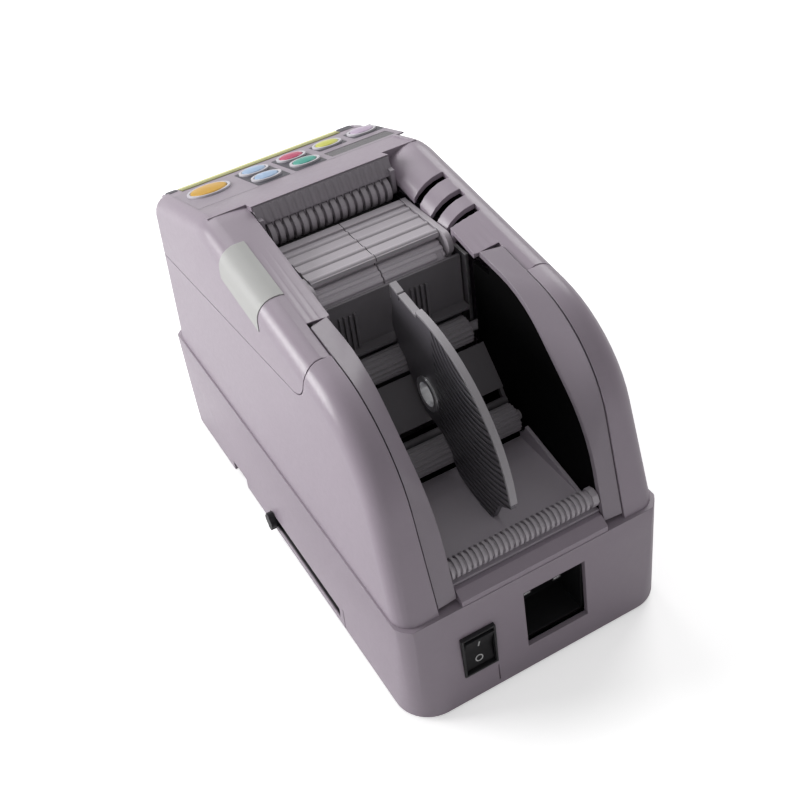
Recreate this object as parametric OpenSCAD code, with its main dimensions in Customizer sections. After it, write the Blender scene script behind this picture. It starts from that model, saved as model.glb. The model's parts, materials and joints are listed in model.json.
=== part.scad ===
// Automatic tape dispenser: a roll bay with guide rollers, a lift-up lid and a cutter inside.
// The front is towards -Y, up is +Z, and the floor is at Z = 0. Millimetres.

/* [Casing] */
// Length of the casing at its foot
casing_l = 228; // [222:1:250]
// Width of the casing at its foot
casing_w = 120; // [118:1:136]
// Height of the step between the base and the upper casing
base_h = 54; // [50:0.5:56]
// Height of the rear edge of the key panel, the highest point
top_h = 151; // [150:0.5:160]
// Height of the front edge of the key panel
panel_h = 129; // [127:0.5:131]
// Wall of the casing shells
wall = 2.2; // [1.8:0.1:2.8]
// Radius that rounds the long edges of the upper casing
edge_r = 8; // [7:0.5:8.5]
// How far the upper casing stands inside the base at the step
step_in = 0.9; // [0.5:0.1:1.5]
// Lean of the upper casing's sides, in degrees
lean_a = 2.67; // [1.5:0.01:3]
// Gap at the seams between separate shells
seam = 0.5; // [0.3:0.05:0.6]

/* [Roll bay] */
// Width of the bay between its trims
bay_w = 66; // [65:0.5:67]
// Thickness of the divider plate
divider_t = 2.3; // [1.8:0.1:2.8]
// Radius of the divider's rim
divider_r = 60.5; // [59:0.5:61]
// Radius of the far fluted roller
far_r = 6; // [5:0.1:6.4]
// Radius of the near fluted roller
near_r = 6.15; // [5:0.05:6.5]
// Radius of the rings on the rear roller
rear_r = 4; // [3.4:0.1:4.6]
// Number of rings on the rear roller
rear_rings = 27; // [22:1:30]

/* [Feed path] */
// Radius of the fluted drum
drum_r = 7.7; // [7:0.1:8]
// Number of flutes round the drum
drum_flutes = 16; // [12:1:20]
// Half length of the drum and of the guide plates
guide_l = 28.2; // [27:0.1:28.3]
// Radius of the rings on the feed roller
ring_r = 5.6; // [5:0.1:5.8]
// Number of rings on the feed roller
ring_n = 16; // [12:1:16]
// Radius of the rubber drive roller
drive_r = 8.8; // [8:0.1:9]
// Module of the gears
gear_m = 1; // [0.9:0.05:1]

/* [Panel] */
// Radius of the small round keys
key_r = 5.3; // [4.5:0.1:5.6]
// Radius of the large key
big_key_r = 8.2; // [7:0.1:9]
// How far a key travels
key_travel = 1; // [0.6:0.1:1.2]

/* [Sockets and switch] */
// Width of the rocker
rocker_w = 12.5; // [11.5:0.5:14]
// Height of the rocker
rocker_h = 19.5; // [18:0.5:21]
// Width of the mains recess
inlet_w = 28; // [26:0.5:29]
// Height of the mains recess
inlet_h = 30; // [26:0.5:31]
// Depth of the mains recess
inlet_d = 22; // [18:0.5:26]

/* [Hidden] */
$fn = 48;

// Ends of the casing and the widths at its step
rear_y = casing_l / 2;
front_y = -casing_l / 2;
foot_h = 2.5;
draft_x = 1.6;
draft_rear = 2.7;
draft_front = 1;
base_top_w = casing_w / 2 - draft_x;
half_w = base_top_w - step_in;
body_corner_front = 10;
body_corner_rear = 15;
flange_w = 6;
foot_drop = 6;

// Side outline of the upper casing: each corner is [y, z, radius], from the front foot to the rear foot
comb_y = rear_y - 150.8;
front_lean = 0.0413;
rear_lean = 0.2494;
front_foot = [front_y + 2.5, base_h];
rear_foot = [rear_y - 4.1, base_h];
front_corner_r = 9;
panel_corner_r = 3;
panel_rise = 0.9;
front_top = [front_foot.x + front_lean * (panel_h - base_h), panel_h];
peak = [comb_y - 5.6, top_h - 0.8];
rear_top_h = top_h - 19.8;
rear_top = [rear_foot.x - rear_lean * (rear_top_h - base_h), rear_top_h];
side = [
    [front_foot.x - front_lean * foot_drop, base_h - foot_drop, 0],
    [front_top.x, front_top.y + panel_rise, front_corner_r],
    [peak.x, peak.y, 30],
    [rear_top.x, rear_top.y, 50],
    [rear_foot.x + rear_lean * foot_drop, base_h - foot_drop, 0]
];
// The key panel and the front wall lie a little inside the shoulders beside them
panel_in = 0.2;
panel_side = [
    [side[0].x + panel_in, side[0].y, 0],
    [front_top.x + panel_in, front_top.y, panel_corner_r],
    [comb_y, top_h, 0]
];
// Inner edge of the bay trims, seen from the side
bay_edge = [
    [rear_y - 84.2, top_h - 13.6, 0],
    [rear_y - 55.3, top_h - 16.3, 45],
    [rear_y - 14.7, base_h + 41.6, 60],
    [rear_y - 5.6, base_h + 1.2, 0]
];

function toward(a, b) = (b - a) / norm(b - a);
function spot(o, i) = [o[i][0], o[i][1]];
function half_angle(o, i) =
    acos(toward(spot(o, i), spot(o, i - 1)) * toward(spot(o, i), spot(o, i + 1))) / 2;
function reach(o, i) = o[i][2] == 0 ? 0 : o[i][2] / tan(half_angle(o, i));
function enter(o, i) =
    reach(o, i) == 0 ? spot(o, i) : spot(o, i) + reach(o, i) * toward(spot(o, i), spot(o, i - 1));
function leave(o, i) =
    reach(o, i) == 0 ? spot(o, i) : spot(o, i) + reach(o, i) * toward(spot(o, i), spot(o, i + 1));
function hub(o, i) =
    spot(o, i) + o[i][2] / sin(half_angle(o, i))
    * toward([0, 0], toward(spot(o, i), spot(o, i - 1)) + toward(spot(o, i), spot(o, i + 1)));
function face_angle(o, i) = let (d = toward(spot(o, i), spot(o, i + 1))) atan2(d.x, -d.y);
function out(a) = [cos(a), sin(a)];
function arc_points(o, i, inset, n) = [
    for (k = [0:n - 1])
        let (a = face_angle(o, i - 1) + (face_angle(o, i) - face_angle(o, i - 1)) * k / (n - 1))
        hub(o, i) + (o[i][2] - inset) * out(a)
];

// Stations along an outline, each [centre, radius, outward angle]; corners turn in steps of arc_step
arc_step = 7;
function stations(o) = let (last = len(o) - 1) [
    for (i = [0:last])
        if (i == 0) [spot(o, 0), 0, face_angle(o, 0)]
        else if (i == last) [spot(o, last), 0, face_angle(o, last - 1)]
        else let (
            a = face_angle(o, i - 1),
            turn = face_angle(o, i) - a,
            n = ceil(abs(turn) / arc_step)
        )
            for (k = [0:n]) [hub(o, i), o[i][2], a + turn * k / n]
];
function station_point(s, outward) = s[0] + (s[1] + outward) * out(s[2]);

// Share of a section point's drop that applies at a station: none beside the key panel, all of it at the rear
function fade(s) = station_point(s, 0).x > 0 ? 1 : 0;

// A skin carried along an outline. Its sections run from the open edge to the side wall as [x, outward, drop]
module skin(o, outer, inner) {
    st = stations(o);
    n = len(st);
    m = len(outer);
    section = concat(outer, inner);
    points = [
        for (s = st)
            for (q = section)
                let (p = station_point(s, q.y - q.z * fade(s))) [q.x, p.x, p.y]
    ];
    row = 2 * m;
    faces = concat(
        [
            for (i = [0:n - 2])
                for (j = [0:m - 2])
                    let (a = i * row + j)
                    each [[a, a + row, a + row + 1], [a, a + row + 1, a + 1]]
        ],
        [
            for (i = [0:n - 2])
                for (j = [m:row - 2])
                    let (a = i * row + j)
                    each [[a, a + 1, a + row + 1], [a, a + row + 1, a + row]]
        ],
        [for (i = [0:n - 2]) let (a = i * row) [a, a + m, a + m + row, a + row]],
        [[for (i = [0:n - 1]) i * row + m - 1]],
        [[for (i = [0:n - 1]) (n - i) * row - 1]],
        [concat([for (j = [0:m - 1]) j], [for (j = [0:m - 1]) row - 1 - j])],
        [concat([for (j = [0:m - 1]) n * row - m - 1 - j], [for (j = [0:m - 1]) n * row - m + j])],
        [[row - 1, m - 1, n * row - m - 1, n * row - 1]]
    );
    polyhedron(points, faces, convexity = 6);
}

// A band between two offsets of an outline, as a flat shape in (y, z)
module band(o, low, high) {
    st = stations(o);
    polygon(concat(
        [for (s = st) station_point(s, high)],
        [for (k = [len(st) - 1:-1:0]) station_point(st[k], low)]
    ));
}

// A shape drawn in (y, z) and given thickness from x0 to x1
module along_x(x0, x1) {
    translate([x0, 0, 0])
        rotate([90, 0, 90])
        linear_extrude(x1 - x0)
        children();
}

module rod_x(p, r, x0, x1) {
    translate([x0, p.x, p.y])
        rotate([0, 90, 0])
        cylinder(r = r, h = x1 - x0);
}

module slab(x, y, z) {
    translate([x[0], y[0], z[0]])
        cube([x[1] - x[0], y[1] - y[0], z[1] - z[0]]);
}

module both_sides() {
    children();
    mirror([1, 0, 0]) children();
}

// Turns a +X side piece by the lean of the casing's side, about its foot
module lean() {
    translate([half_w, 0, base_h])
        rotate([0, -lean_a, 0])
        translate([-half_w, 0, -base_h])
        children();
}

// Sections of the casing: the rounded shoulder, a flat top, a sloping rail and a rail that rolls down
edge_steps = 6;
function shoulder_arc(offset) = [
    for (k = [0:edge_steps])
        let (p = [half_w - edge_r, -edge_r] + (edge_r + offset) * out(90 - 90 * k / edge_steps))
        [p.x, p.y, 0]
];
inner_x = half_w - 24;
crest_x = half_w - edge_r - 0.5;
rail_steps = 5;
roll_from = 20;
rail_crown = 0.2;
rail_lip = 0.4;
function flat_edge(offset) = concat([[inner_x, offset, 0]], shoulder_arc(offset));
function rail_edge(offset, drop = rail_drop) = concat(
    [
        for (k = [0:rail_steps])
            let (t = k / rail_steps)
            [
                inner_x + (crest_x - inner_x) * t,
                offset + rail_crown * sin(180 * t) - rail_lip * (1 - t),
                drop * (1 - t)
            ]
    ],
    shoulder_arc(offset)
);
function rolled_edge(offset) = concat(
    [
        for (k = [0:rail_steps])
            let (a = roll_from + (90 - roll_from) * k / rail_steps)
            [
                crest_x - (crest_x - inner_x) * cos(a) / cos(roll_from),
                offset - roll_drop * (1 - sin(a)) / (1 - sin(roll_from)),
                0
            ]
    ],
    shoulder_arc(offset)
);

// One side of the upper casing as a leaning shell, clipped by a world box at x >= inner
module side_shell(inner) {
    intersection() {
        lean() skin(side, flat_edge(0), flat_edge(-wall));
        slab([inner, casing_w], [front_y - 9, rear_y + 9], [base_h, top_h + 20]);
    }
}

// Lid hinge and the seam that runs forward from it
hinge = [rear_y - 77, top_h - 19];
hinge_r = 13;
hinge_pin_r = 2;
bearing_gap = 0.05;
seam_slope = atan(0.111);
lid_back_x = 41.5;
trim_outer_x = lid_back_x - seam;

// The lid's side of the seam, seen from the side: forward along the seam, and round the hinge
module lid_zone(gap) {
    back = out(seam_slope - 90);
    along = out(seam_slope + 180);
    steps = 24;
    polygon(concat(
        [hinge + (hinge_r - gap) * back + casing_l * along],
        [
            for (k = [0:steps])
                hinge + (hinge_r - gap) * out(seam_slope - 90 + (180 - seam_slope) * k / steps)
        ],
        [hinge + [0, 60], hinge + [-casing_l, 60]]
    ));
}

// Places things on the key panel: x across, v up the slope from its front corner, and out of the panel
panel_a = atan2(top_h - panel_h, comb_y - front_top.x);
module on_panel(x, v, w = 0) {
    translate([0, front_top.x, front_top.y])
        rotate([panel_a, 0, 0])
        translate([x, v, w])
        children();
}

module panel_block(x, v, w) {
    on_panel(x[0], v[0], w[0])
        cube([x[1] - x[0], v[1] - v[0], w[1] - w[0]]);
}

// Each key: name, x, v, radius
keys = [
    ["mauve", -43.5, 21.8, key_r],
    ["yellow", -25.8, 22, key_r],
    ["red", -8.2, 21.2, key_r],
    ["green", -8.3, 37.5, key_r],
    ["blue_front", 10, 21, key_r],
    ["blue_back", 10.2, 37.8, key_r],
    ["orange", 33, 25.3, big_key_r]
];
key_gap = 0.3;
key_proud = 1.6;
collar_w = 1.2;
overlay_t = 0.6;
overlay_x = [-52, 46];
overlay_v = [12.5, 49];
window_x = [-49.3, -18.3];
window_v = [35.4, 45.6];
board_w = -9;
board_t = 1.6;
switch_h = 3;

// Channel and rails of the lid
rail_x = bay_w / 2 - 1.7;
rail_drop = 3.9;
roll_drop = 9.5;
roll_y = [comb_y - 6, comb_y + 47.8];
rail_slots = [comb_y + 21.5, comb_y + 34.5, comb_y + 45.5];
slot_w = 4.5;
lid_back_y = [rear_y - 85.1, rear_y - 81.3];
// The lid's rear edge is cut back to this radius about the hinge, so that it swings clear of the trims
lid_clear_r = 9.5;

// Shafts, as (y, z)
ring_axis = [comb_y + 2, top_h - 13.5];
drive_axis = ring_axis - [0, ring_r + drive_r + 0.3];
drum_axis = [comb_y + 41.1, top_h - 25.8];
shaft_r = 3;
drive_teeth = 20;
idler_teeth = 24;
pinion_teeth = 12;
gear_reach = gear_m * (drive_teeth + idler_teeth) / 2;
gear_line = drum_axis - drive_axis;
idler_drop = sqrt(gear_reach * gear_reach - gear_line * gear_line / 4);
idler_axis = (drive_axis + drum_axis) / 2
    + idler_drop * [gear_line.y, -gear_line.x] / norm(gear_line);
pinion_axis = idler_axis - [0, gear_m * (idler_teeth + pinion_teeth) / 2];
gear_x = [36, 41];
chassis_x = [bay_w / 2 + 0.2, bay_w / 2 + 1.7];
chassis_t = 1.2;
chassis_top = top_h - 21.6;
chassis_front = comb_y - 35;
chassis_back = comb_y + 54;

// Bay levels and roller axes
floor_h = base_h + 6;
liner_h = base_h + 3;
half_bay = bay_w / 2;
liner_x = [half_bay + 0.5, half_bay + 2.3];
far_axis = [rear_y - 94.3, base_h + 42];
near_axis = [rear_y - 63.8, base_h + 15];
rear_axis = [rear_y - 12, base_h + 11.5];
journal_r = 2;
journal_gap = 0.06;
bay_floor_y = [rear_y - 61, rear_y - 9.3];

module base_plan(inset) {
    w = casing_w / 2 - inset;
    f = front_y + inset;
    r = rear_y - inset;
    cf = body_corner_front - inset;
    cr = body_corner_rear - inset;
    translate([-w, f + cf]) square([2 * w, r - f - cf - cr]);
    translate([cf - w, f]) square([2 * (w - cf), cf + 1]);
    translate([cr - w, r - cr - 1]) square([2 * (w - cr), cr + 1]);
    for (s = [-1, 1]) {
        translate([s * (w - cf), f + cf]) circle(cf, $fn = 64);
        translate([s * (w - cr), r - cr]) circle(cr, $fn = 64);
    }
}

module base_block(inset, h) {
    w0 = casing_w / 2 - inset;
    w1 = base_top_w - inset;
    intersection() {
        linear_extrude(h) base_plan(inset);
        translate([0, rear_y + 1, 0])
            rotate([90, 0, 0])
            linear_extrude(casing_l + 2)
            polygon([[-w0, foot_h], [w0, foot_h], [w1, base_h], [-w1, base_h]]);
        along_x(-casing_w, casing_w)
            polygon([
                [front_y + inset, foot_h],
                [rear_y - inset, foot_h],
                [rear_y - draft_rear - inset, base_h],
                [front_y + draft_front + inset, base_h]
            ]);
    }
}

screw_at = [[46, rear_y - 16], [46, front_y + 14]];
screw_r = 1.5;
rocker_at = [28.5, 27.5];
inlet_at = [-7, 29.8];
slot_y = [rear_y - 131, rear_y - 62];
slot_z = [6, 12];
lever_y = rear_y - 127.3;
lever_l = 7;
frame_edge = 1.2;
rocker_gap = 0.3;

module base_casing() {
    color([0.62, 0.59, 0.62])
    difference() {
        base_block(0, base_h);
        difference() {
            base_block(wall, base_h - 2.5);
            for (s = [-1, 1])
                for (p = screw_at)
                    translate([s * p.x, p.y, foot_h + 2])
                        cylinder(r = 4.5, h = base_h);
        }
        slab([flange_w + wall - base_top_w, base_top_w - flange_w - wall],
             [front_y + 9, rear_y - 12], [base_h - 4, base_h + 1]);
        for (s = [-1, 1])
            for (p = screw_at)
                translate([s * p.x, p.y, foot_h])
                    cylinder(r = screw_r, h = 14);
        translate([rocker_at.x, rear_y, rocker_at.y])
            cube([rocker_w + 2 * frame_edge, 20, rocker_h + 2 * frame_edge], center = true);
        translate([inlet_at.x, rear_y, inlet_at.y])
            cube([inlet_w, 20, inlet_h], center = true);
        slab([base_top_w - 9, casing_w], slot_y, slot_z);
        slab([base_top_w - 9, casing_w], [rear_y - 174.8, rear_y - 159.8], [0, 8]);
        slab([casing_w / 2 - 1, casing_w], [rear_y - 58.6, rear_y - 58], [foot_h, 15]);
        slab([rocker_at.x - 7.6, rocker_at.x - 7], [rear_y - 1, rear_y + 1], [5, 14]);
    }
}

module bottom_plate() {
    color([0.3, 0.3, 0.32])
    difference() {
        translate([0, 0, foot_h])
            linear_extrude(2)
            base_plan(wall + 0.6);
        for (s = [-1, 1])
            for (p = screw_at)
                translate([s * p.x, p.y, foot_h - 1])
                    cylinder(r = screw_r, h = 4);
        slab([base_top_w - 9, casing_w], [rear_y - 175, rear_y - 159.6], [0, 8]);
    }
}

module rubber_feet() {
    color([0.12, 0.12, 0.12])
    for (s = [-1, 1])
        for (y = [rear_y - 34, front_y + 32])
            translate([s * 46, y, 0])
                cylinder(r = 7, h = foot_h);
}

module base_screws() {
    color([0.7, 0.7, 0.72])
    for (s = [-1, 1])
        for (p = screw_at)
            translate([s * p.x, p.y, 0]) {
                translate([0, 0, foot_h - 1.4]) cylinder(r = 2.8, h = 1.4);
                translate([0, 0, foot_h - 0.5]) cylinder(r = screw_r - 0.05, h = 12);
            }
}

module chassis() {
    floor_y = [front_y + 8, rear_y - 10];
    color([0.66, 0.67, 0.69])
    difference() {
        union() {
            slab([-base_top_w + flange_w + 1, base_top_w - flange_w - 1], floor_y,
                 [base_h, base_h + chassis_t]);
            both_sides()
                slab(chassis_x, [chassis_front, chassis_back], [base_h, chassis_top]);
            rod_x(idler_axis, journal_r, chassis_x[0], gear_x[1] + 1);
        }
        for (p = [drive_axis, drum_axis])
            rod_x(p, shaft_r + bearing_gap, -40, 40);
        rod_x(pinion_axis, 5, 20, 40);
    }
}

module upper_casing() {
    color([0.66, 0.63, 0.66]) {
        difference() {
            union() {
                both_sides() side_shell(lid_back_x);
                intersection() {
                    along_x(-panel_x, panel_x) band(panel_side, -wall, 0);
                    slab([-half_w, half_w], [front_y, 0], [base_h, panel_h]);
                }
            }
            along_x(-casing_w, casing_w) lid_zone(-seam / 2);
        }
        both_sides() hinge_bracket();
    }
}

bracket_x = [46.6, 48.4];
ear_x = [43.4, 46.2];
module hinge_bracket() {
    column = 3;
    rib_z = [hinge.y - 28, hinge.y - 20];
    along_x(bracket_x[0], bracket_x[1]) {
        translate(hinge) circle(3.5);
        translate([hinge.x - column, rib_z[0]])
            square([2 * column, hinge.y - rib_z[0]]);
    }
    slab([bracket_x[0], half_w - sin(lean_a) * (rib_z[0] - base_h) - 1.3],
         [hinge.x - column, hinge.x + column], rib_z);
    rod_x(hinge, hinge_pin_r, ear_x[0] - 0.4, bracket_x[0] + 1);
}

trim_t = 2.4;
arc_n = 12;
// The crease stays flush with the leaning shell beside it
crease_drop = 0.65;
trim_end = base_h + 2.5;

function trim_outer(inset) = concat(
    [crease_start - inset * out(face_angle(side, 2))],
    arc_points(side, 3, inset, arc_n),
    [crease_end - inset * out(face_angle(side, 3))]
);
function trim_inner(inset) = concat(
    [edge_start - inset * out(face_angle(bay_edge, 0))],
    arc_points(bay_edge, 1, inset, arc_n / 2),
    arc_points(bay_edge, 2, inset, arc_n / 2),
    [edge_end - inset * out(face_angle(bay_edge, 2))]
);
function on_line(a, b, t) = a + t * (b - a);
function at_y(o, i, y) =
    let (a = spot(o, i), b = spot(o, i + 1)) on_line(a, b, (y - a.x) / (b.x - a.x));
function at_z(o, i, z) =
    let (a = spot(o, i), b = spot(o, i + 1)) on_line(a, b, (z - a.y) / (b.y - a.y));
crease_start = at_y(side, 2, lid_back_y[1] + seam);
crease_end = at_z(side, 3, trim_end);
edge_start = at_y(bay_edge, 0, lid_back_y[0] + seam);
edge_end = at_z(bay_edge, 2, trim_end);

// Drilled for the rear roller's journal; the hole has flat sides, like the steps of the trim
module bay_trim() {
    difference() {
        trim_strip();
        rod_x(rear_axis, journal_r + 0.5, half_bay - 1, half_bay + 4, $fn = 12);
    }
}

module trim_strip() {
    n = arc_n + 2;
    x0 = half_bay;
    rows = [
        [for (p = trim_outer(crease_drop)) [trim_outer_x, p.x, p.y]],
        [for (p = trim_inner(0)) [x0, p.x, p.y]],
        [for (p = trim_inner(trim_t)) [x0, p.x, p.y]],
        [for (p = trim_outer(crease_drop + trim_t)) [trim_outer_x, p.x, p.y]]
    ];
    points = [for (row = rows) each row];
    strips = [
        for (k = [0:3])
            for (i = [0:n - 2])
                let (a = k * n + i, b = (k + 1) % 4 * n + i)
                each [[a, a + 1, b], [a + 1, b + 1, b]]
    ];
    ends = [[0, n, 2 * n, 3 * n], [4 * n - 1, 3 * n - 1, 2 * n - 1, n - 1]];
    polyhedron(points, concat(strips, ends));
}

module bay_trim_right() {
    color([0.7, 0.67, 0.7]) bay_trim();
}

module bay_trim_left() {
    color([0.7, 0.67, 0.7]) mirror([1, 0, 0]) bay_trim();
}

// Flat region under the bay trims, seen from the side
module under_trim(inset) {
    low = liner_h;
    start = rear_y - 79.5;
    intersection() {
        union() {
            polygon(concat(
                [[rear_y - 80, 0]],
                [for (p = [spot(bay_edge, 0), enter(bay_edge, 1)]) p - inset * out(face_angle(bay_edge, 0))],
                [for (p = [leave(bay_edge, 1), enter(bay_edge, 2)]) p - inset * out(face_angle(bay_edge, 1))],
                [for (p = [leave(bay_edge, 2), spot(bay_edge, 3)]) p - inset * out(face_angle(bay_edge, 2))],
                [[rear_y - 6, 0]]
            ));
            for (i = [1, 2])
                translate(hub(bay_edge, i)) circle(bay_edge[i][2] - inset, $fn = 120);
        }
        translate([start, low]) square([80, 100]);
    }
}

module bay_liner() {
    low_front = [rear_y - 91.5, top_h - 22];
    color([0.2, 0.2, 0.21])
    difference() {
        union() {
            both_sides() {
                along_x(liner_x[0], liner_x[1]) {
                    under_trim(trim_t + seam);
                    translate([low_front.x, liner_h - 1])
                        square([rear_y - 79 - low_front.x, low_front.y - liner_h + 1]);
                }
            }
            slab([-liner_x[1], liner_x[1]], [low_front.x, rear_y - 9.6], [base_h + chassis_t, liner_h]);
        }
        for (p = [far_axis, near_axis, rear_axis])
            rod_x(p, journal_r + journal_gap, -50, 50);
    }
}

tab_y = [rear_y - 38, rear_y - 30];
module bay_floor() {
    rail_t = 1.5;
    color([0.6, 0.58, 0.61])
    difference() {
        union() {
            slab([-half_bay, half_bay], bay_floor_y, [liner_h, floor_h]);
            both_sides()
                along_x(half_bay - rail_t, half_bay)
                polygon([
                    [bay_floor_y[0], liner_h],
                    [bay_floor_y[0], floor_h + 9],
                    [bay_floor_y[0] + 24, floor_h + 4],
                    [bay_floor_y[0] + 43, floor_h],
                    [bay_floor_y[0] + 43, liner_h]
                ]);
        }
        slab(divider_x + [-0.2, 0.2], tab_y + [-0.2, 0.2], [liner_h - 1, floor_h + 1]);
        rod_x(near_axis, near_r + 1, -50, 50);
    }
}

module bay_front_wall() {
    pitch = 2.2;
    rib = [1, 1.5];
    ribs_from = [-16.5, 15.5];
    rib_count = 4;
    wall_y = rear_y - 105;
    wall_x = [-half_bay + 0.3, half_bay - 0.3];
    shelf_z = far_axis.y + 8;
    lip_y = [drum_axis.x + drum_r + 0.4, drum_axis.x + drum_r + 1.9];
    lip_z = drum_axis.y + 2.8;
    color([0.42, 0.41, 0.43]) {
        slab(wall_x, [wall_y, wall_y + 2], [base_h + chassis_t, shelf_z + 1]);
        slab(wall_x, [wall_y, rear_y - 95.6], [shelf_z, shelf_z + 1.5]);
        slab(wall_x, lip_y, [shelf_z + 1, lip_z]);
        for (x = ribs_from)
            for (i = [0:rib_count - 1])
                translate([x + i * pitch, lip_y[1] - 0.5, shelf_z + 1])
                    cube([rib.x, rib.y + 0.5, lip_z - shelf_z - 7]);
    }
}

module sill_plate() {
    color([0.66, 0.63, 0.66])
    along_x(-half_bay + 0.5, half_bay - 0.5)
        polygon([
            [rear_y - 9, base_h],
            [rear_y - 9, base_h + 5.2],
            [rear_y - 7, base_h + 5.2],
            [rear_y - 2.9, base_h + 2.6],
            [rear_y - 2.9, base_h]
        ]);
}

// A straight-fluted bar, drawn in section: each flute is cut by a circle centred a little outside it
module fluted(r, n, depth, turn = 0, offset = 0.2) {
    difference() {
        circle(r, $fn = 96);
        for (i = [0:n - 1])
            rotate(turn + i * 360 / n)
                translate([r + offset, 0])
                circle(depth + offset, $fn = 24);
    }
}

module fluted_roller(axis, r, n, end_gap) {
    translate([0, axis.x, axis.y])
        along_x(-half_bay + end_gap, half_bay - end_gap)
        fluted(r, n, 0.7);
    rod_x(axis, journal_r, -liner_x[1], liner_x[1]);
}

module far_roller() {
    color([0.55, 0.54, 0.56]) fluted_roller(far_axis, far_r, 18, 3.4);
}

module near_roller() {
    color([0.55, 0.54, 0.56]) fluted_roller(near_axis, near_r, 18, 2.2);
}

module rear_ring_roller() {
    end_gap = 0.5;
    collar = 2.6;
    first = -half_bay + end_gap + collar + 0.8;
    pitch = (half_bay - end_gap - first) / rear_rings;
    ring_t = 0.52 * pitch;
    color([0.66, 0.64, 0.67]) {
        rod_x(rear_axis, rear_r - 1.1, -half_bay + end_gap, half_bay - end_gap);
        for (i = [0:rear_rings - 1])
            rod_x(rear_axis, rear_r, first + (i + 1) * pitch - ring_t, first + (i + 1) * pitch);
        translate([-half_bay + end_gap, rear_axis.x, rear_axis.y])
            rotate([0, 90, 0])
            cylinder(r = rear_r, h = collar, $fn = 8);
        rod_x(rear_axis, journal_r, -liner_x[1], liner_x[1]);
    }
}

deck_from = [rear_y - 88, base_h + 37.5];
deck_to = [rear_y - 74.5, base_h + 22.5];
deck_rod = [rear_y - 72.9, base_h + 16.6];
deck_rod_r = 1.7;
module deck_plate() {
    slope = atan2(deck_to.y - deck_from.y, deck_to.x - deck_from.x);
    color([0.5, 0.49, 0.52]) {
        along_x(-half_bay - 0.3, half_bay + 0.3)
            translate(deck_from)
            rotate(slope)
            translate([0, -2])
            square([norm(deck_to - deck_from), 2]);
        rod_x(deck_rod, deck_rod_r, -half_bay - 0.3, half_bay + 0.3);
        both_sides()
            along_x(half_bay - 1.2, half_bay + 0.3)
            polygon([
                deck_to + [-4, 0.5],
                deck_to + [-0.5, -1.2],
                deck_rod + [1, 0.5],
                deck_rod + [-1.2, -1]
            ]);
    }
}

divider_hub = [rear_y - 74.3, base_h + 17.5];
divider_hole = [rear_y - 71.8, base_h + 39];
rim_t = 1.2;
rim_start = rear_y - 73.8;
rim_end_a = 7;
divider_x = [-0.1, divider_t - 0.1];
rim_proud = 0.3;
hub_r = 7;

module divider_outline(inset) {
    intersection() {
        polygon([
            [rear_y - 92.8, top_h - 17 - inset],
            [rear_y - 86.8, top_h - 18.6 - inset],
            [rim_start, top_h - 20.8 - inset],
            [rim_start, top_h],
            [rear_y, top_h],
            [rear_y, base_h + 24],
            [rear_y - 15.8, base_h + 22],
            [rear_y - 23.8, base_h + 17],
            [rear_y - 29, floor_h],
            [rear_y - 40, floor_h],
            [rear_y - 53, floor_h + 3.6],
            [rear_y - 63, base_h + 24],
            [rear_y - 76, base_h + 27],
            [rear_y - 80.5, base_h + 31],
            [rear_y - 87, base_h + 42],
            [rear_y - 94, base_h + 51.5],
            [rear_y - 96.2, base_h + 59]
        ]);
        union() {
            translate(divider_hub) circle(divider_r - inset, $fn = 180);
            translate([front_y, 0]) square([rim_start - front_y, top_h]);
        }
    }
}

module divider_bores() {
    translate([rear_y - 107.4, top_h - 27.8]) circle(13.2, $fn = 96);
    translate(far_axis) circle(far_r + 1.2);
    translate(near_axis) circle(near_r + 1.2);
    translate([rear_y - 87.2, top_h - 22]) square([0.9, 20]);
}

module divider_plate() {
    color([0.4, 0.39, 0.41]) {
        along_x(divider_x[0], divider_x[1])
            difference() {
                divider_outline(rim_t);
                translate(divider_hole) circle(hub_r);
                divider_bores();
            }
        along_x(divider_x[0] - 0.8, divider_x[1] + 0.8)
            translate(divider_hole)
            difference() {
                circle(hub_r + 0.6);
                circle(hub_r - 1.6);
            }
        slab(divider_x, tab_y, [liner_h, floor_h + 2]);
    }
}

// The light edge of the divider, over its two top steps and round to its foot
module divider_rim() {
    color([0.78, 0.77, 0.79])
    along_x(divider_x[0] - rim_proud, divider_x[1] + rim_proud)
        intersection() {
            difference() {
                divider_outline(0);
                divider_outline(rim_t);
                divider_bores();
            }
            polygon([
                divider_hub,
                divider_hub + 90 * out(rim_end_a),
                divider_hub + 120 * out(45),
                divider_hub + 120 * out(100),
                [rear_y - 94, top_h],
                [rear_y - 94, top_h - 24]
            ]);
        }
}

// Half of the drum; its flutes start where one lies just behind the guide plate
module drum_half() {
    flute_turn = 18.7;
    along_x(0.3, guide_l - 0.3)
        translate(drum_axis)
        difference() {
            fluted(drum_r, drum_flutes, 0.7, flute_turn, 0.1);
            circle(shaft_r);
        }
}

module drum_right() {
    color([0.68, 0.66, 0.69]) drum_half();
}

module drum_left() {
    notch_x = [24.2, 27];
    color([0.68, 0.66, 0.69])
    difference() {
        mirror([1, 0, 0]) drum_half();
        translate([0, drum_axis.x, drum_axis.y])
            rotate([30, 0, 0])
            slab([-notch_x[1], -notch_x[0]], [drum_r - 1.2, drum_r + 1], [-1.4, 1.4]);
    }
}

module drum_shaft() {
    color([0.75, 0.76, 0.78]) rod_x(drum_axis, shaft_r, -36, gear_x[1] + 1);
}

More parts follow.
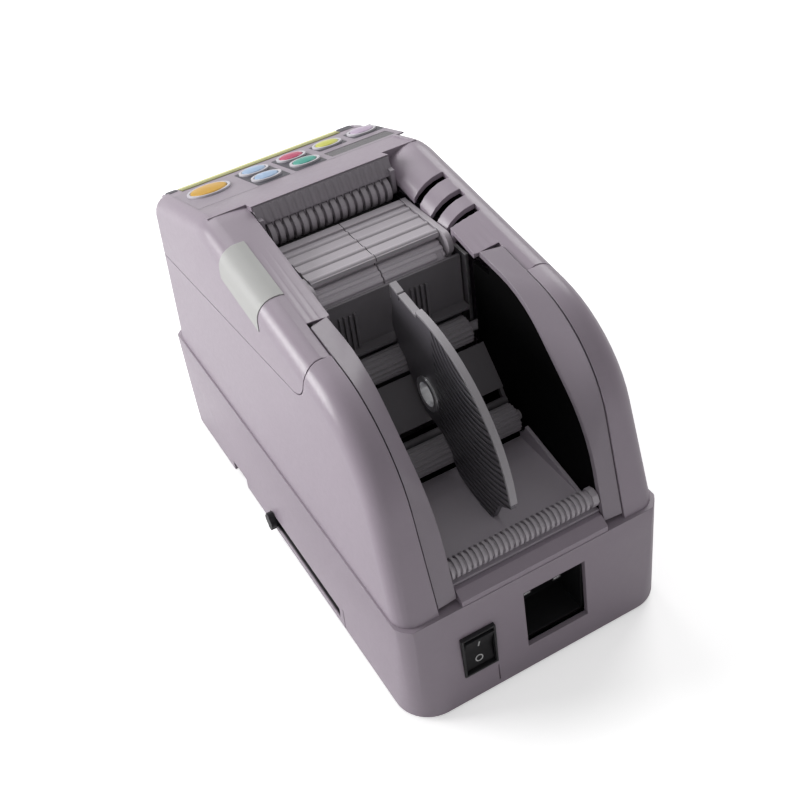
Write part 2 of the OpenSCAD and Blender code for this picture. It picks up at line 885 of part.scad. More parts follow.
// Gear section with the centre of one tooth at angle turn
module gear_section(teeth, turn, bore) {
    pitch_r = gear_m * teeth / 2;
    root_r = pitch_r - 1.25 * gear_m;
    tip_r = pitch_r + 0.9 * gear_m;
    difference() {
        union() {
            circle(root_r, $fn = 96);
            for (i = [0:teeth - 1])
                rotate(turn + i * 360 / teeth)
                    polygon([
                        [root_r - 0.4, -0.98 * gear_m],
                        [pitch_r, -0.64 * gear_m],
                        [tip_r, -0.34 * gear_m],
                        [tip_r, 0.34 * gear_m],
                        [pitch_r, 0.64 * gear_m],
                        [root_r - 0.4, 0.98 * gear_m]
                    ]);
        }
        circle(bore, $fn = 48);
    }
}

function heading(a, b) = atan2(b.y - a.y, b.x - a.x);
// Angle of a tooth on a gear of n_b teeth that meshes, in direction d, with a tooth at angle turn_a
function mesh(n_a, turn_a, d, n_b) = d + 180 - ((turn_a - d) * n_a + 180) / n_b;
idler_turn = mesh(drive_teeth, 0, heading(drive_axis, idler_axis), idler_teeth);
drum_turn = mesh(idler_teeth, idler_turn, heading(idler_axis, drum_axis), drive_teeth);
pinion_turn = mesh(idler_teeth, idler_turn, heading(idler_axis, pinion_axis), pinion_teeth);

module gear(axis, teeth, turn, bore) {
    along_x(gear_x[0], gear_x[1])
        translate(axis)
        gear_section(teeth, turn, bore);
}

module drum_gear() {
    color([0.9, 0.9, 0.88]) gear(drum_axis, drive_teeth, drum_turn, shaft_r);
}

module drive_gear() {
    color([0.9, 0.9, 0.88]) gear(drive_axis, drive_teeth, 0, shaft_r);
}

module idler_gear() {
    color([0.9, 0.9, 0.88]) gear(idler_axis, idler_teeth, idler_turn, journal_r + bearing_gap);
}

module motor_pinion() {
    color([0.75, 0.7, 0.45]) {
        gear(pinion_axis, pinion_teeth, pinion_turn, 1);
        rod_x(pinion_axis, 2, 31, gear_x[0]);
        rod_x(pinion_axis, 1, gear_x[0] - 1, gear_x[1] + 1);
    }
}

module feed_motor() {
    body_r = 15;
    color([0.35, 0.36, 0.38])
    difference() {
        union() {
            rod_x(pinion_axis, body_r, -26, chassis_x[0]);
            rod_x(pinion_axis, 4.8, chassis_x[0] - 1, chassis_x[1]);
        }
        rod_x(pinion_axis, 2 + bearing_gap, 30.9, 40);
    }
}

module drive_roller() {
    color([0.16, 0.16, 0.16])
    difference() {
        rod_x(drive_axis, drive_r, -guide_l, guide_l);
        rod_x(drive_axis, shaft_r, -40, 40);
    }
}

module drive_shaft() {
    color([0.75, 0.76, 0.78]) rod_x(drive_axis, shaft_r, -36, gear_x[1] + 1);
}

guide_y = [comb_y + 11.4, comb_y + 43.4];
guide_h = [top_h - 15.9, top_h - 14.4];
flange_x = [guide_l + 0.4, rail_x - 0.4];
// A cheek beside the guide plate, bolted to the chassis; its top edge stands rise above the plate
module cheek(rise) {
    tab_z = [drum_axis.y - 4, chassis_top];
    nose_r = 5;
    nose = [guide_y[1] + 1.7, guide_h[1] + rise - nose_r];
    difference() {
        union() {
            along_x(flange_x[0], flange_x[1]) {
                polygon([
                    [guide_y[0], guide_h[0] + rise],
                    [nose.x, nose.y + nose_r],
                    [nose.x + 2.4, nose.y],
                    [nose.x + 2.4, tab_z[0]],
                    [guide_y[0] + 6, tab_z[0]],
                    [guide_y[0], tab_z[1]]
                ]);
                translate(nose) circle(nose_r, $fn = 64);
            }
            slab([flange_x[0], chassis_x[0]], [drum_axis.x - 16, drum_axis.x - 8], tab_z);
        }
        rod_x(drum_axis, shaft_r + 0.4, 0, 40);
    }
}

module drum_flanges() {
    notch_y = [guide_y[1] - 17, guide_y[1] - 6];
    color([0.72, 0.7, 0.73]) {
        mirror([1, 0, 0]) cheek(0.9);
        difference() {
            cheek(-0.2);
            slab([flange_x[0] - 1, flange_x[1] + 1], notch_y, [guide_h[0] - 4, top_h]);
        }
    }
}

module guide_plate() {
    ridge_pitch = 7.3;
    drum_gap = 1.3;
    slope = atan2(guide_h[1] - guide_h[0], guide_y[1] - guide_y[0]);
    difference() {
        along_x(0.2, guide_l + 0.1)
            translate([guide_y[0], guide_h[0]])
            rotate(slope)
            union() {
                translate([0, -2]) square([guide_y[1] - guide_y[0], 2]);
                translate([0, -3]) square([4.5, 3.8]);
                for (i = [1:4])
                    translate([4.5 + (i - 0.5) * ridge_pitch, -0.9]) circle(1.6, $fn = 32);
            }
        rod_x(drum_axis, drum_r + drum_gap, -1, 40);
    }
}

module guide_right() {
    color([0.7, 0.68, 0.71]) guide_plate();
}

module guide_left() {
    color([0.7, 0.68, 0.71]) mirror([1, 0, 0]) guide_plate();
}

panel_x = half_w - edge_r - 1.5;

// Plan of the lid's leaning sides: shoulders beside the panel, rails, and a tongue over each ear
module lid_side_plan() {
    shoulder_x = panel_x - 2;
    rail_front = roll_y[0] - 1.5;
    polygon([
        [shoulder_x, front_y - 9],
        [shoulder_x, rail_front],
        [rail_x, rail_front],
        [rail_x, lid_back_y[0] - 1],
        [half_bay + 0.5, lid_back_y[0]],
        [lid_back_x, lid_back_y[1]],
        [lid_back_x, rear_y],
        [casing_w, rear_y],
        [casing_w, front_y - 9]
    ]);
}

module side_stretch(y) {
    intersection() {
        children();
        slab([0, casing_w], y, [0, 2 * top_h]);
    }
}

// Beside the feed path the -X rail rolls down to the channel, between two end walls
roll_side = [
    [(side[1].x + side[2].x) / 2, (side[1].y + side[2].y) / 2, 0],
    side[2],
    side[3],
    side[4]
];
module rolled_rail() {
    end_t = 1.5;
    side_stretch([front_y - 9, roll_y[0]]) skin(side, rail_edge(0), rail_edge(-wall));
    side_stretch([roll_y[0] - end_t, roll_y[0]]) skin(roll_side, rail_edge(-1.2, 0), rolled_edge(-wall));
    side_stretch(roll_y) skin(roll_side, rolled_edge(0), rolled_edge(-wall));
    side_stretch([roll_y[1], roll_y[1] + end_t]) skin(roll_side, rail_edge(-0.1), rolled_edge(-wall));
    side_stretch([roll_y[1], rear_y + 9]) skin(side, rail_edge(0), rail_edge(-wall));
}

module lid_side(rolled) {
    low = base_h + 36;
    intersection() {
        lean()
            if (rolled) rolled_rail();
            else skin(side, rail_edge(0), rail_edge(-wall));
        along_x(-casing_w, casing_w) lid_zone(seam / 2);
        translate([0, 0, low]) linear_extrude(top_h) lid_side_plan();
    }
}

module lid_shell() {
    lid_side(false);
    mirror([1, 0, 0]) lid_side(true);
    intersection() {
        difference() {
            along_x(-panel_x, panel_x) band(panel_side, -wall, 0);
            both_sides() slab([rail_x, casing_w], [roll_y[0], rear_y], [0, 2 * top_h]);
        }
        along_x(-casing_w, casing_w) lid_zone(seam / 2);
    }
}

flap_axis = [front_top.x + 2.4, panel_h - 6.3];
// Height of the lid's lower edge at the front wall
lid_front_z = hinge.y - hinge_r * cos(seam_slope)
    - (hinge.x + hinge_r * sin(seam_slope) - front_top.x) * tan(seam_slope);
flap_open_z = [lid_front_z + 4.4, panel_h - 2.8];
flap_pin_r = 1.2;
board_posts = [[-44, 12], [44, 12], [-14.5, 45.3], [44, 45]];
strip_x = [-38.5, 40.5];

module lid() {
    color([0.68, 0.65, 0.68])
    difference() {
        union() {
            lid_shell();
            both_sides() {
                along_x(ear_x[0], ear_x[1]) {
                    translate(hinge) circle(3.6);
                    translate([hinge.x - 3.6, hinge.y]) square([7.2, 5.4]);
                }
                slab([rail_x, rail_x + 4], [flap_axis.x - 1.2, flap_axis.x + 2.6],
                     [flap_axis.y - 3, flap_axis.y + 2]);
            }
            for (p = board_posts)
                on_panel(p.x, p.y, board_w + board_t)
                    cylinder(r = 2.5, h = -board_w - board_t - 1);
        }
        both_sides() {
            rod_x(hinge, hinge_pin_r + bearing_gap, ear_x[0] - 1, ear_x[1] + 0.2);
            rod_x(flap_axis, flap_pin_r + bearing_gap, rail_x - 1, rail_x + 3);
        }
        panel_block(overlay_x, overlay_v, [-overlay_t, 5]);
        for (k = keys)
            on_panel(k[1], k[2], -5)
                cylinder(r = k[3] + key_gap, h = 10);
        panel_block(window_x, window_v, [-5, 5]);
        slab([-rail_x, rail_x], [front_y - 5, front_y + 15], flap_open_z);
        for (y = rail_slots)
            slab([3.4 - crest_x, 1 - rail_x], [y - slot_w / 2, y + slot_w / 2], [top_h - 30, top_h + 9]);
        both_sides()
            along_x(rail_x - 1, lid_back_x)
            translate(hinge)
            circle(lid_clear_r, $fn = 96);
    }
}

// The comb hangs from the panel's rear edge as a ribbed visor, with a fin between each two rings
visor_x = rail_x - 0.5;
visor_top = [comb_y + 0.35, top_h - 0.3];
visor_low = [comb_y + 4.1, top_h - 7.4];
ring_pitch = 2 * guide_l / ring_n;
ring_gap = 1.4;
ring_core_r = ring_r - 2.2;
ring_lug_x = guide_l + 0.6;
module comb_plate() {
    lug_x = [ring_lug_x, ring_lug_x + 1.9];
    fin_t = 0.7;
    rib_r = 0.42 * ring_pitch;
    rib_proud = 0.6;
    fall = visor_low - visor_top;
    color([0.6, 0.58, 0.61])
    difference() {
        union() {
            along_x(-visor_x, visor_x)
                polygon([
                    visor_top,
                    visor_low,
                    visor_low + [-1.6, 0.3],
                    visor_top + [-0.2, -3.4],
                    [comb_y - 6.5, top_h - 5.8],
                    [comb_y - 6.5, top_h - 4.55],
                    [comb_y + 0.7, top_h - 2.4]
                ]);
            intersection() {
                for (i = [0:ring_n - 1])
                    translate([(i + 0.5) * ring_pitch - guide_l, visor_top.x, visor_top.y])
                        rotate([atan2(-fall.x, fall.y), 0, 0])
                        translate([0, rib_r - rib_proud, 0])
                        cylinder(r = rib_r, h = norm(fall));
                along_x(-visor_x, visor_x)
                    polygon([
                        visor_top + [0.2, -0.8],
                        visor_low + [-1, 0.3],
                        visor_low + [3, 1.5],
                        visor_top + [3, 1.5]
                    ]);
            }
            for (i = [1:ring_n - 1])
                slab([i * ring_pitch - guide_l - fin_t / 2, i * ring_pitch - guide_l + fin_t / 2],
                     [comb_y + 0.6, visor_low.x - 0.4], [ring_axis.y + 3.5, visor_low.y + 0.6]);
            both_sides()
                along_x(lug_x[0], lug_x[1]) {
                    translate(ring_axis) circle(3.5);
                    translate([comb_y - 1.5, ring_axis.y]) square([7, 9]);
                }
        }
        rod_x(ring_axis, ring_core_r + 0.4, -guide_l, guide_l);
        rod_x(ring_axis, journal_r + bearing_gap, -40, 40);
    }
}

module feed_ring_roller() {
    color([0.68, 0.66, 0.69]) {
        for (i = [0:ring_n - 1])
            rod_x(ring_axis, ring_r, i * ring_pitch - guide_l + ring_gap / 2,
                  (i + 1) * ring_pitch - guide_l - ring_gap / 2);
        rod_x(ring_axis, ring_core_r, -guide_l + 0.5, guide_l - 0.5);
        rod_x(ring_axis, journal_r, -ring_lug_x - 1.6, ring_lug_x + 1.6);
    }
}

label_y = [comb_y + 14.5, comb_y + 49];
label_x = 41.5;
label_t = 0.25;
label_drop = 12.5;
module side_label() {
    color([0.93, 0.93, 0.92])
    intersection() {
        lean() skin(side, rail_edge(label_t + 0.02), rail_edge(0.02));
        slab([label_x, casing_w], label_y, [base_h, 2 * top_h]);
        along_x(0, casing_w) band(side, -label_drop, 2);
    }
}

module front_strip() {
    strip_t = 0.25;
    strip_v = 8.5;
    strip_from = -0.8;
    color([0.85, 0.86, 0.5])
    intersection() {
        along_x(strip_x[0], strip_x[1]) band(panel_side, 0.02, 0.02 + strip_t);
        on_panel(-casing_w, strip_from, -5) cube([2 * casing_w, strip_v - strip_from, 40]);
    }
}

module control_overlay() {
    color([0.7, 0.68, 0.7])
    difference() {
        panel_block(overlay_x + [0.15, -0.15], overlay_v + [0.15, -0.15], [-overlay_t, 0]);
        for (k = keys)
            on_panel(k[1], k[2], -5)
                cylinder(r = k[3] + key_gap, h = 10);
        panel_block(window_x, window_v, [-5, 5]);
    }
}

module key_collars() {
    color([0.93, 0.93, 0.95])
    for (k = keys)
        on_panel(k[1], k[2])
            difference() {
                cylinder(r = k[3] + key_gap + collar_w, h = 0.9);
                translate([0, 0, -1]) cylinder(r = k[3] + key_gap, h = 3);
            }
}

module display_window() {
    color([0.2, 0.17, 0.2])
        panel_block(window_x + [0.15, -0.15], window_v + [0.15, -0.15], [-1.6, -0.1]);
}

module control_board() {
    board_x = [-47, 47];
    board_v = [9, 48];
    color([0.15, 0.38, 0.22]) {
        panel_block(board_x, board_v, [board_w, board_w + board_t]);
        for (k = keys)
            panel_block([k[1] - 3, k[1] + 3], [k[2] - 3, k[2] + 3],
                        [board_w + board_t, board_w + board_t + switch_h]);
        panel_block(window_x + [2, -2], window_v + [1, -1], [board_w + board_t, -2]);
    }
}

module key(k) {
    stem_end = board_w + board_t + switch_h + key_travel + 0.05;
    on_panel(k[1], k[2]) {
        translate([0, 0, -wall]) cylinder(r = k[3], h = wall + key_proud - 0.6);
        translate([0, 0, key_proud - 0.6]) cylinder(r = k[3] - 0.7, h = 0.6);
        translate([0, 0, stem_end]) cylinder(r = 2, h = -wall - stem_end + 0.5);
    }
}

module key_mauve() { color([0.83, 0.76, 0.84]) key(keys[0]); }
module key_yellow() { color([0.88, 0.88, 0.4]) key(keys[1]); }
module key_red() { color([0.85, 0.42, 0.55]) key(keys[2]); }
module key_green() { color([0.37, 0.75, 0.7]) key(keys[3]); }
module key_blue_front() { color([0.7, 0.78, 0.9]) key(keys[4]); }
module key_blue_back() { color([0.75, 0.85, 0.9]) key(keys[5]); }
module key_orange() { color([0.93, 0.83, 0.28]) key(keys[6]); }

// Cutter: the yoke slides down two rods and pulls the moving blade past the fixed one
cut_y = comb_y - 18.2;
beam_z = top_h - 51;
rod_r = 2;
leg_x = [26.8, 32.4];
rod_at = 29.6;
yoke_z = beam_z + 14;
coil_r = 12;
module cutter_frame() {
    color([0.6, 0.61, 0.63]) {
        difference() {
            slab([-chassis_x[0], chassis_x[0]], [cut_y - 5, cut_y + 5], [beam_z - 4, beam_z]);
            translate([0, cut_y, beam_z - 5]) cylinder(r = 4.5, h = 10);
        }
        for (s = [-1, 1])
            translate([s * rod_at, cut_y, beam_z - 1]) cylinder(r = rod_r, h = 42);
    }
}

module cutter_yoke() {
    top_z = drive_axis.y + drive_r + 3;
    color([0.45, 0.46, 0.48])
    difference() {
        union() {
            both_sides()
                slab(leg_x, [cut_y - 3, cut_y + 3], [yoke_z, top_z + 6]);
            slab([-leg_x[1], leg_x[1]], [cut_y - 3, cut_y + 3], [yoke_z, yoke_z + 4]);
            slab([-leg_x[1], leg_x[1]], [cut_y - 3, cut_y + 3], [top_z, top_z + 6]);
            translate([0, cut_y, beam_z - 20]) cylinder(r = 4, h = yoke_z - beam_z + 21);
        }
        for (s = [-1, 1])
            translate([s * rod_at, cut_y, 0]) cylinder(r = rod_r + bearing_gap, h = 200);
    }
}

blade_t = 1.2;
module moving_blade() {
    top_z = drive_axis.y + drive_r + 3;
    color([0.8, 0.81, 0.83])
    along_x(-leg_x[0] + 0.3, leg_x[0] - 0.3)
        polygon([
            [cut_y + 3, top_z + 5],
            [cut_y + 3, top_z - 1],
            [cut_y + 3 + blade_t, top_z - 2],
            [cut_y + 3 + blade_t, top_z + 5]
        ]);
}

module fixed_blade() {
    edge_z = drive_axis.y + drive_r - 1.2;
    y0 = cut_y + 3 + blade_t + 0.3;
    color([0.8, 0.81, 0.83]) {
        slab([-chassis_x[0], chassis_x[0]], [y0, y0 + 1.4], [edge_z - 12, edge_z]);
        slab([-chassis_x[0], chassis_x[0]], [y0 + 1.4, y0 + 3.4], [edge_z - 12, edge_z - 4]);
    }
}

spring_turns = 6;
module return_spring() {
    wire_r = 0.45;
    coil = 5.4;
    low = beam_z + wire_r + 0.1;
    high = yoke_z - wire_r - 0.1;
    steps = spring_turns * 8;
    ring = 6;
    points = [
        for (i = [0:steps])
            let (a = i * 45, z = low + (high - low) * i / steps)
            for (j = [0:ring - 1])
                let (b = j * 360 / ring, r = coil + wire_r * cos(b))
                [r * cos(a), cut_y + r * sin(a), z + wire_r * sin(b)]
    ];
    faces = concat(
        [[for (j = [0:ring - 1]) ring - 1 - j]],
        [
            for (i = [0:steps - 1])
                for (j = [0:ring - 1])
                    let (a = i * ring + j, b = i * ring + (j + 1) % ring)
                    each [[a, b, a + ring], [b, b + ring, a + ring]]
        ],
        [[for (j = [0:ring - 1]) steps * ring + j]]
    );
    color([0.78, 0.79, 0.8]) polyhedron(points, faces);
}

module solenoid() {
    coil_h = 30;
    coil_z = beam_z - 4 - coil_h;
    plunger_r = 4.4;
    color([0.3, 0.22, 0.15])
    difference() {
        translate([0, cut_y, coil_z]) cylinder(r = coil_r, h = coil_h);
        translate([0, cut_y, coil_z + 4]) cylinder(r = plunger_r, h = coil_h);
    }
}

chute_from = [cut_y - 5, drive_axis.y + drive_r - 4];
chute_to = [front_top.x + 1, panel_h - 19];
module exit_chute() {
    slope = atan2(chute_to.y - chute_from.y, chute_to.x - chute_from.x);
    span = norm(chute_to - chute_from);
    plate_t = 1.5;
    color([0.3, 0.3, 0.32])
    translate([0, chute_from.x, chute_from.y])
    rotate([slope, 0, 0]) {
        translate([-29, 0, 0]) cube([58, span, plate_t]);
        translate([-chassis_x[0], 6, plate_t - 0.3]) cube([2 * chassis_x[0], 5, 2]);
    }
}

module exit_flap() {
    plate_y = [front_top.x - 0.8, front_top.x + 0.8];
    plate_x = rail_x - 0.4;
    color([0.6, 0.58, 0.6]) {
        slab([-plate_x, plate_x], plate_y, [flap_open_z[0] + 1, flap_axis.y]);
        slab([-plate_x, plate_x], [plate_y[1] - 0.2, flap_axis.x], [flap_axis.y - 2, flap_axis.y]);
        rod_x(flap_axis, 2, -plate_x, plate_x);
        rod_x(flap_axis, flap_pin_r, -plate_x - 2.6, plate_x + 2.6);
    }
}

module power_supply() {
    board_z = foot_h + 7;
    board_top = board_z + board_t;
    board_x = 42;
    post_x = 36;
    core_h = 28.4;
    can_r = 8;
    can_h = 24;
    y = [rear_y - 150, rear_y - 40];
    color([0.5, 0.42, 0.2]) {
        slab([-board_x, board_x], y, [board_z, board_top]);
        for (s = [-1, 1])
            for (py = [y[0] + 5, y[1] - 5])
                translate([s * post_x, py, foot_h + 2]) cylinder(r = 3, h = board_z - foot_h - 2);
        slab([-30, 2], [y[0] + 20, y[0] + 52], [board_top, board_top + core_h]);
        for (i = [0:2])
            translate([18, y[0] + 24 + 19 * i, board_top]) cylinder(r = can_r, h = can_h);
    }
}

pin_r = 2;
module mains_inlet() {
    shell = 1.5;
    back_y = rear_y - wall - inlet_d;
    face_y = rear_y - wall - draft_rear - 0.2;
    color([0.13, 0.13, 0.14])
    difference() {
        slab([inlet_at.x - inlet_w / 2 - shell, inlet_at.x + inlet_w / 2 + shell], [back_y, face_y],
             [inlet_at.y - inlet_h / 2 - shell, inlet_at.y + inlet_h / 2 + shell]);
        slab([inlet_at.x - inlet_w / 2, inlet_at.x + inlet_w / 2], [back_y + 3, rear_y],
             [inlet_at.y - inlet_h / 2, inlet_at.y + inlet_h / 2]);
    }
    color([0.8, 0.8, 0.82])
    for (i = [-1:1])
        translate([inlet_at.x + 7 * i, 0, inlet_at.y + 1.5 + (i == 0 ? 2 : 0)])
            slab([-pin_r, pin_r], [back_y + 2, back_y + 13], [-1, 1]);
}

rocker_y = rear_y - 3.2;
module switch_frame() {
    w = rocker_w / 2 + rocker_gap;
    h = rocker_h / 2 + rocker_gap;
    face_y = rear_y - 0.2;
    color([0.12, 0.12, 0.13])
    translate([rocker_at.x, 0, rocker_at.y])
    difference() {
        slab([-w - frame_edge + 0.35, w + frame_edge - 0.35], [rear_y - 20, face_y],
             [-h - frame_edge + 0.35, h + frame_edge - 0.35]);
        slab([-w, w], [rear_y - 12, rear_y + 5], [-h, h]);
        translate([0, rocker_y - 2.5, 0])
            rotate([0, 90, 0])
            cylinder(r = 1.2 + bearing_gap, h = 2 * w + 1, center = true);
    }
}

module switch_rocker() {
    w = rocker_w / 2;
    h = rocker_h / 2;
    color([0.14, 0.14, 0.15])
    translate([rocker_at.x, rocker_y - 2.5, rocker_at.y]) {
        rotate([0, 90, 0]) cylinder(r = 1.2, h = 2 * w + 0.8, center = true);
        translate([-w, 0, 0])
            rotate([90, 0, 90])
            linear_extrude(2 * w)
            polygon([[0, -h + 0.6], [4.2, -h + 0.6], [3.4, 0], [6.2, h - 0.6], [0, h - 0.6], [-3, 0]]);
    }
}

module side_lever() {
    knob_x = [casing_w / 2 + 0.3, casing_w / 2 + 2.8];
    knob_z = (slot_z[0] + slot_z[1]) / 2;
    lobe_r = 1.9;
    color([0.15, 0.15, 0.16]) {
        slab([base_top_w - 6, knob_x[1] - 0.5], [lever_y - 2.5, lever_y + 2.5], slot_z + [0.4, -0.4]);
        along_x(knob_x[0], knob_x[1]) {
            translate([lever_y, knob_z]) circle(lever_l / 2);
            for (s = [-1, 1])
                translate([lever_y, knob_z + s * (lever_l / 2 - 0.4)]) circle(lobe_r);
        }
    }
}

base_casing();
bottom_plate();
rubber_feet();
base_screws();
chassis();
upper_casing();
bay_trim_left();
bay_trim_right();
bay_liner();
bay_floor();
bay_front_wall();
sill_plate();
rear_ring_roller();
near_roller();
far_roller();
deck_plate();
divider_plate();
divider_rim();
drum_left();
drum_right();
drum_shaft();
drum_gear();
drum_flanges();
guide_left();
guide_right();
lid();
comb_plate();
feed_ring_roller();
side_label();
front_strip();
control_overlay();
key_collars();
display_window();
control_board();
key_mauve();
key_yellow();
key_red();
key_green();
key_blue_front();
key_blue_back();
key_orange();
drive_roller();
drive_shaft();
drive_gear();
idler_gear();
feed_motor();
motor_pinion();
cutter_frame();
cutter_yoke();
moving_blade();
fixed_blade();
return_spring();
solenoid();
exit_chute();
exit_flap();
power_supply();
mains_inlet();
switch_frame();
switch_rocker();
side_lever();
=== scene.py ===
import json
import math
import bpy
import bmesh
from mathutils import Matrix, Vector


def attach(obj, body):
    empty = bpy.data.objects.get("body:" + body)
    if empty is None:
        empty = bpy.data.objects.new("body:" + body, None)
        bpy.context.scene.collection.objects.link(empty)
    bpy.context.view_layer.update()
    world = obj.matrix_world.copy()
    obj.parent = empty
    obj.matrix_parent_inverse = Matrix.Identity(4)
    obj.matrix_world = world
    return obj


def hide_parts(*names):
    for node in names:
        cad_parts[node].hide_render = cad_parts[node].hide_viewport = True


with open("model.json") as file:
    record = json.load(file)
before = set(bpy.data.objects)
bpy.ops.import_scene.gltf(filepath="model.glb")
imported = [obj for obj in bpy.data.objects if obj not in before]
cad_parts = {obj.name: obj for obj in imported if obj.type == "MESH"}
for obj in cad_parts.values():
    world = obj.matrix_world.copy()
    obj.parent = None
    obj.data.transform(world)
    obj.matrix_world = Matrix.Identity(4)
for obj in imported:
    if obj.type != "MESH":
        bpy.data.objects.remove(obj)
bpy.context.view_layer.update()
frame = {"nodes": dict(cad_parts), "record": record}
nodes = frame["nodes"]
print("frame loaded:", len(nodes), "nodes")

mm = 0.001


# ---- camera
cameraSettings = {
    "place": (157.5, 365.0, 400.4),
    "azimuth": 156.11,
    "elevation": 40.75,
    "roll": -8.41,
    "lens": 54.54,
}


def addCamera(settings):
    a = math.radians(settings["azimuth"])
    e = math.radians(settings["elevation"])
    roll = math.radians(settings["roll"])
    forward = -Vector((math.sin(a) * math.cos(e), -math.cos(a) * math.cos(e), math.sin(e)))
    level = forward.cross(Vector((0, 0, 1))).normalized()
    upright = level.cross(forward)
    right = math.cos(roll) * level + math.sin(roll) * upright
    up = -math.sin(roll) * level + math.cos(roll) * upright
    turn = Matrix((right, up, -forward)).transposed().to_4x4()
    data = bpy.data.cameras.new("photoCamera")
    data.lens = settings["lens"]
    data.sensor_width = 36
    data.clip_start, data.clip_end = 0.01, 20
    camera = bpy.data.objects.new("photoCamera", data)
    bpy.context.scene.collection.objects.link(camera)
    camera.matrix_world = Matrix.Translation(Vector(settings["place"]) * mm) @ turn
    bpy.context.scene.camera = camera


addCamera(cameraSettings)
print("camera placed")


# ---- shader groups that several finishes share
def newGroup(name, inputs, outputs):
    group = bpy.data.node_groups.new(name, "ShaderNodeTree")
    for label, kind, value in inputs:
        socket = group.interface.new_socket(label, in_out="INPUT", socket_type=kind)
        socket.default_value = value
    for label, kind in outputs:
        group.interface.new_socket(label, in_out="OUTPUT", socket_type=kind)
    return group, group.nodes.new("NodeGroupInput"), group.nodes.new("NodeGroupOutput")


def addNode(tree, kind, links=None, **settings):
    node = tree.nodes.new(kind)
    for key, value in settings.items():
        setattr(node, key, value)
    for key, value in (links or {}).items():
        socket = node.inputs[key]
        if isinstance(value, bpy.types.NodeSocket):
            tree.links.new(value, socket)
        else:
            socket.default_value = value
    return node


def mathNode(tree, operation, first, second=None, clamp=False):
    links = {0: first}
    if second is not None:
        links[1] = second
    return addNode(tree, "ShaderNodeMath", links, operation=operation, use_clamp=clamp).outputs[0]


def buildGrain():
    # moulded plastic: a fine spark-eroded grain with slow clouds of tone
    tree, given, result = newGroup(
        "mouldGrain",
        [("Grain Scale", "NodeSocketFloat", 1800.0), ("Cloud Scale", "NodeSocketFloat", 18.0)],
        [("Height", "NodeSocketFloat"), ("Cloud", "NodeSocketFloat"), ("Speckle", "NodeSocketFloat")],
    )
    place = tree.nodes.new("ShaderNodeTexCoord").outputs["Object"]
    fine = addNode(tree, "ShaderNodeTexNoise",
                   {"Vector": place, "Scale": given.outputs[0], "Detail": 3.0, "Roughness": 0.6})
    slow = addNode(tree, "ShaderNodeTexNoise",
                   {"Vector": place, "Scale": given.outputs[1], "Detail": 4.0, "Roughness": 0.55})
    coarse = mathNode(tree, "MULTIPLY", given.outputs[0], 0.22)
    speck = addNode(tree, "ShaderNodeTexNoise", {"Vector": place, "Scale": coarse, "Detail": 2.0})
    tree.links.new(fine.outputs[0], result.inputs["Height"])
    tree.links.new(slow.outputs[0], result.inputs["Cloud"])
    tree.links.new(speck.outputs[0], result.inputs["Speckle"])
    return tree


def buildEdgeWear():
    # how far the rounded normal leaves the flat one marks an edge; noise breaks the mark up
    tree, given, result = newGroup(
        "edgeWear",
        [("Width", "NodeSocketFloat", 0.0006), ("Amount", "NodeSocketFloat", 1.0)],
        [("Edge", "NodeSocketFloat"), ("Normal", "NodeSocketVector")],
    )
    rounded = addNode(tree, "ShaderNodeBevel", {"Radius": given.outputs["Width"]}, samples=6)
    flat = tree.nodes.new("ShaderNodeNewGeometry")
    place = tree.nodes.new("ShaderNodeTexCoord").outputs["Object"]
    patch = addNode(tree, "ShaderNodeTexNoise", {"Vector": place, "Scale": 160.0, "Detail": 3.0})
    alike = addNode(tree, "ShaderNodeVectorMath",
                    {0: rounded.outputs[0], 1: flat.outputs["Normal"]}, operation="DOT_PRODUCT")
    leave = mathNode(tree, "SUBTRACT", 1.0, alike.outputs["Value"], clamp=True)
    strong = mathNode(tree, "MULTIPLY", leave, 5.0, clamp=True)
    broken = mathNode(tree, "MULTIPLY", strong, patch.outputs[0])
    final = mathNode(tree, "MULTIPLY", broken, given.outputs["Amount"], clamp=True)
    tree.links.new(final, result.inputs["Edge"])
    tree.links.new(rounded.outputs[0], result.inputs["Normal"])
    return tree


def buildDust():
    # fine dust that settles on faces that look up
    tree, given, result = newGroup(
        "settledDust",
        [("Amount", "NodeSocketFloat", 0.2)],
        [("Dust", "NodeSocketFloat")],
    )
    normal = tree.nodes.new("ShaderNodeNewGeometry").outputs["Normal"]
    facing = addNode(tree, "ShaderNodeSeparateXYZ", {0: normal})
    place = tree.nodes.new("ShaderNodeTexCoord").outputs["Object"]
    drift = addNode(tree, "ShaderNodeTexNoise",
                    {"Vector": place, "Scale": 60.0, "Detail": 5.0, "Roughness": 0.7})
    upward = mathNode(tree, "MAXIMUM", facing.outputs["Z"], 0.0)
    lying = mathNode(tree, "MULTIPLY", upward, drift.outputs[0])
    final = mathNode(tree, "MULTIPLY", lying, given.outputs["Amount"], clamp=True)
    tree.links.new(final, result.inputs["Dust"])
    return tree


def buildBrushing():
    # drawn or ground metal: fine streaks along one axis
    tree, given, result = newGroup(
        "brushing",
        [("Stretch", "NodeSocketVector", (60.0, 3000.0, 3000.0))],
        [("Streak", "NodeSocketFloat")],
    )
    place = tree.nodes.new("ShaderNodeTexCoord").outputs["Object"]
    stretched = addNode(tree, "ShaderNodeVectorMath", {0: place, 1: given.outputs[0]}, operation="MULTIPLY")
    streak = addNode(tree, "ShaderNodeTexNoise",
                     {"Vector": stretched.outputs[0], "Scale": 1.0, "Detail": 3.0})
    tree.links.new(streak.outputs[0], result.inputs["Streak"])
    return tree


grainGroup = buildGrain()
wearGroup = buildEdgeWear()
dustGroup = buildDust()
brushGroup = buildBrushing()


def useGroup(tree, group, **values):
    node = tree.nodes.new("ShaderNodeGroup")
    node.node_tree = group
    for key, value in values.items():
        node.inputs[key].default_value = value
    return node


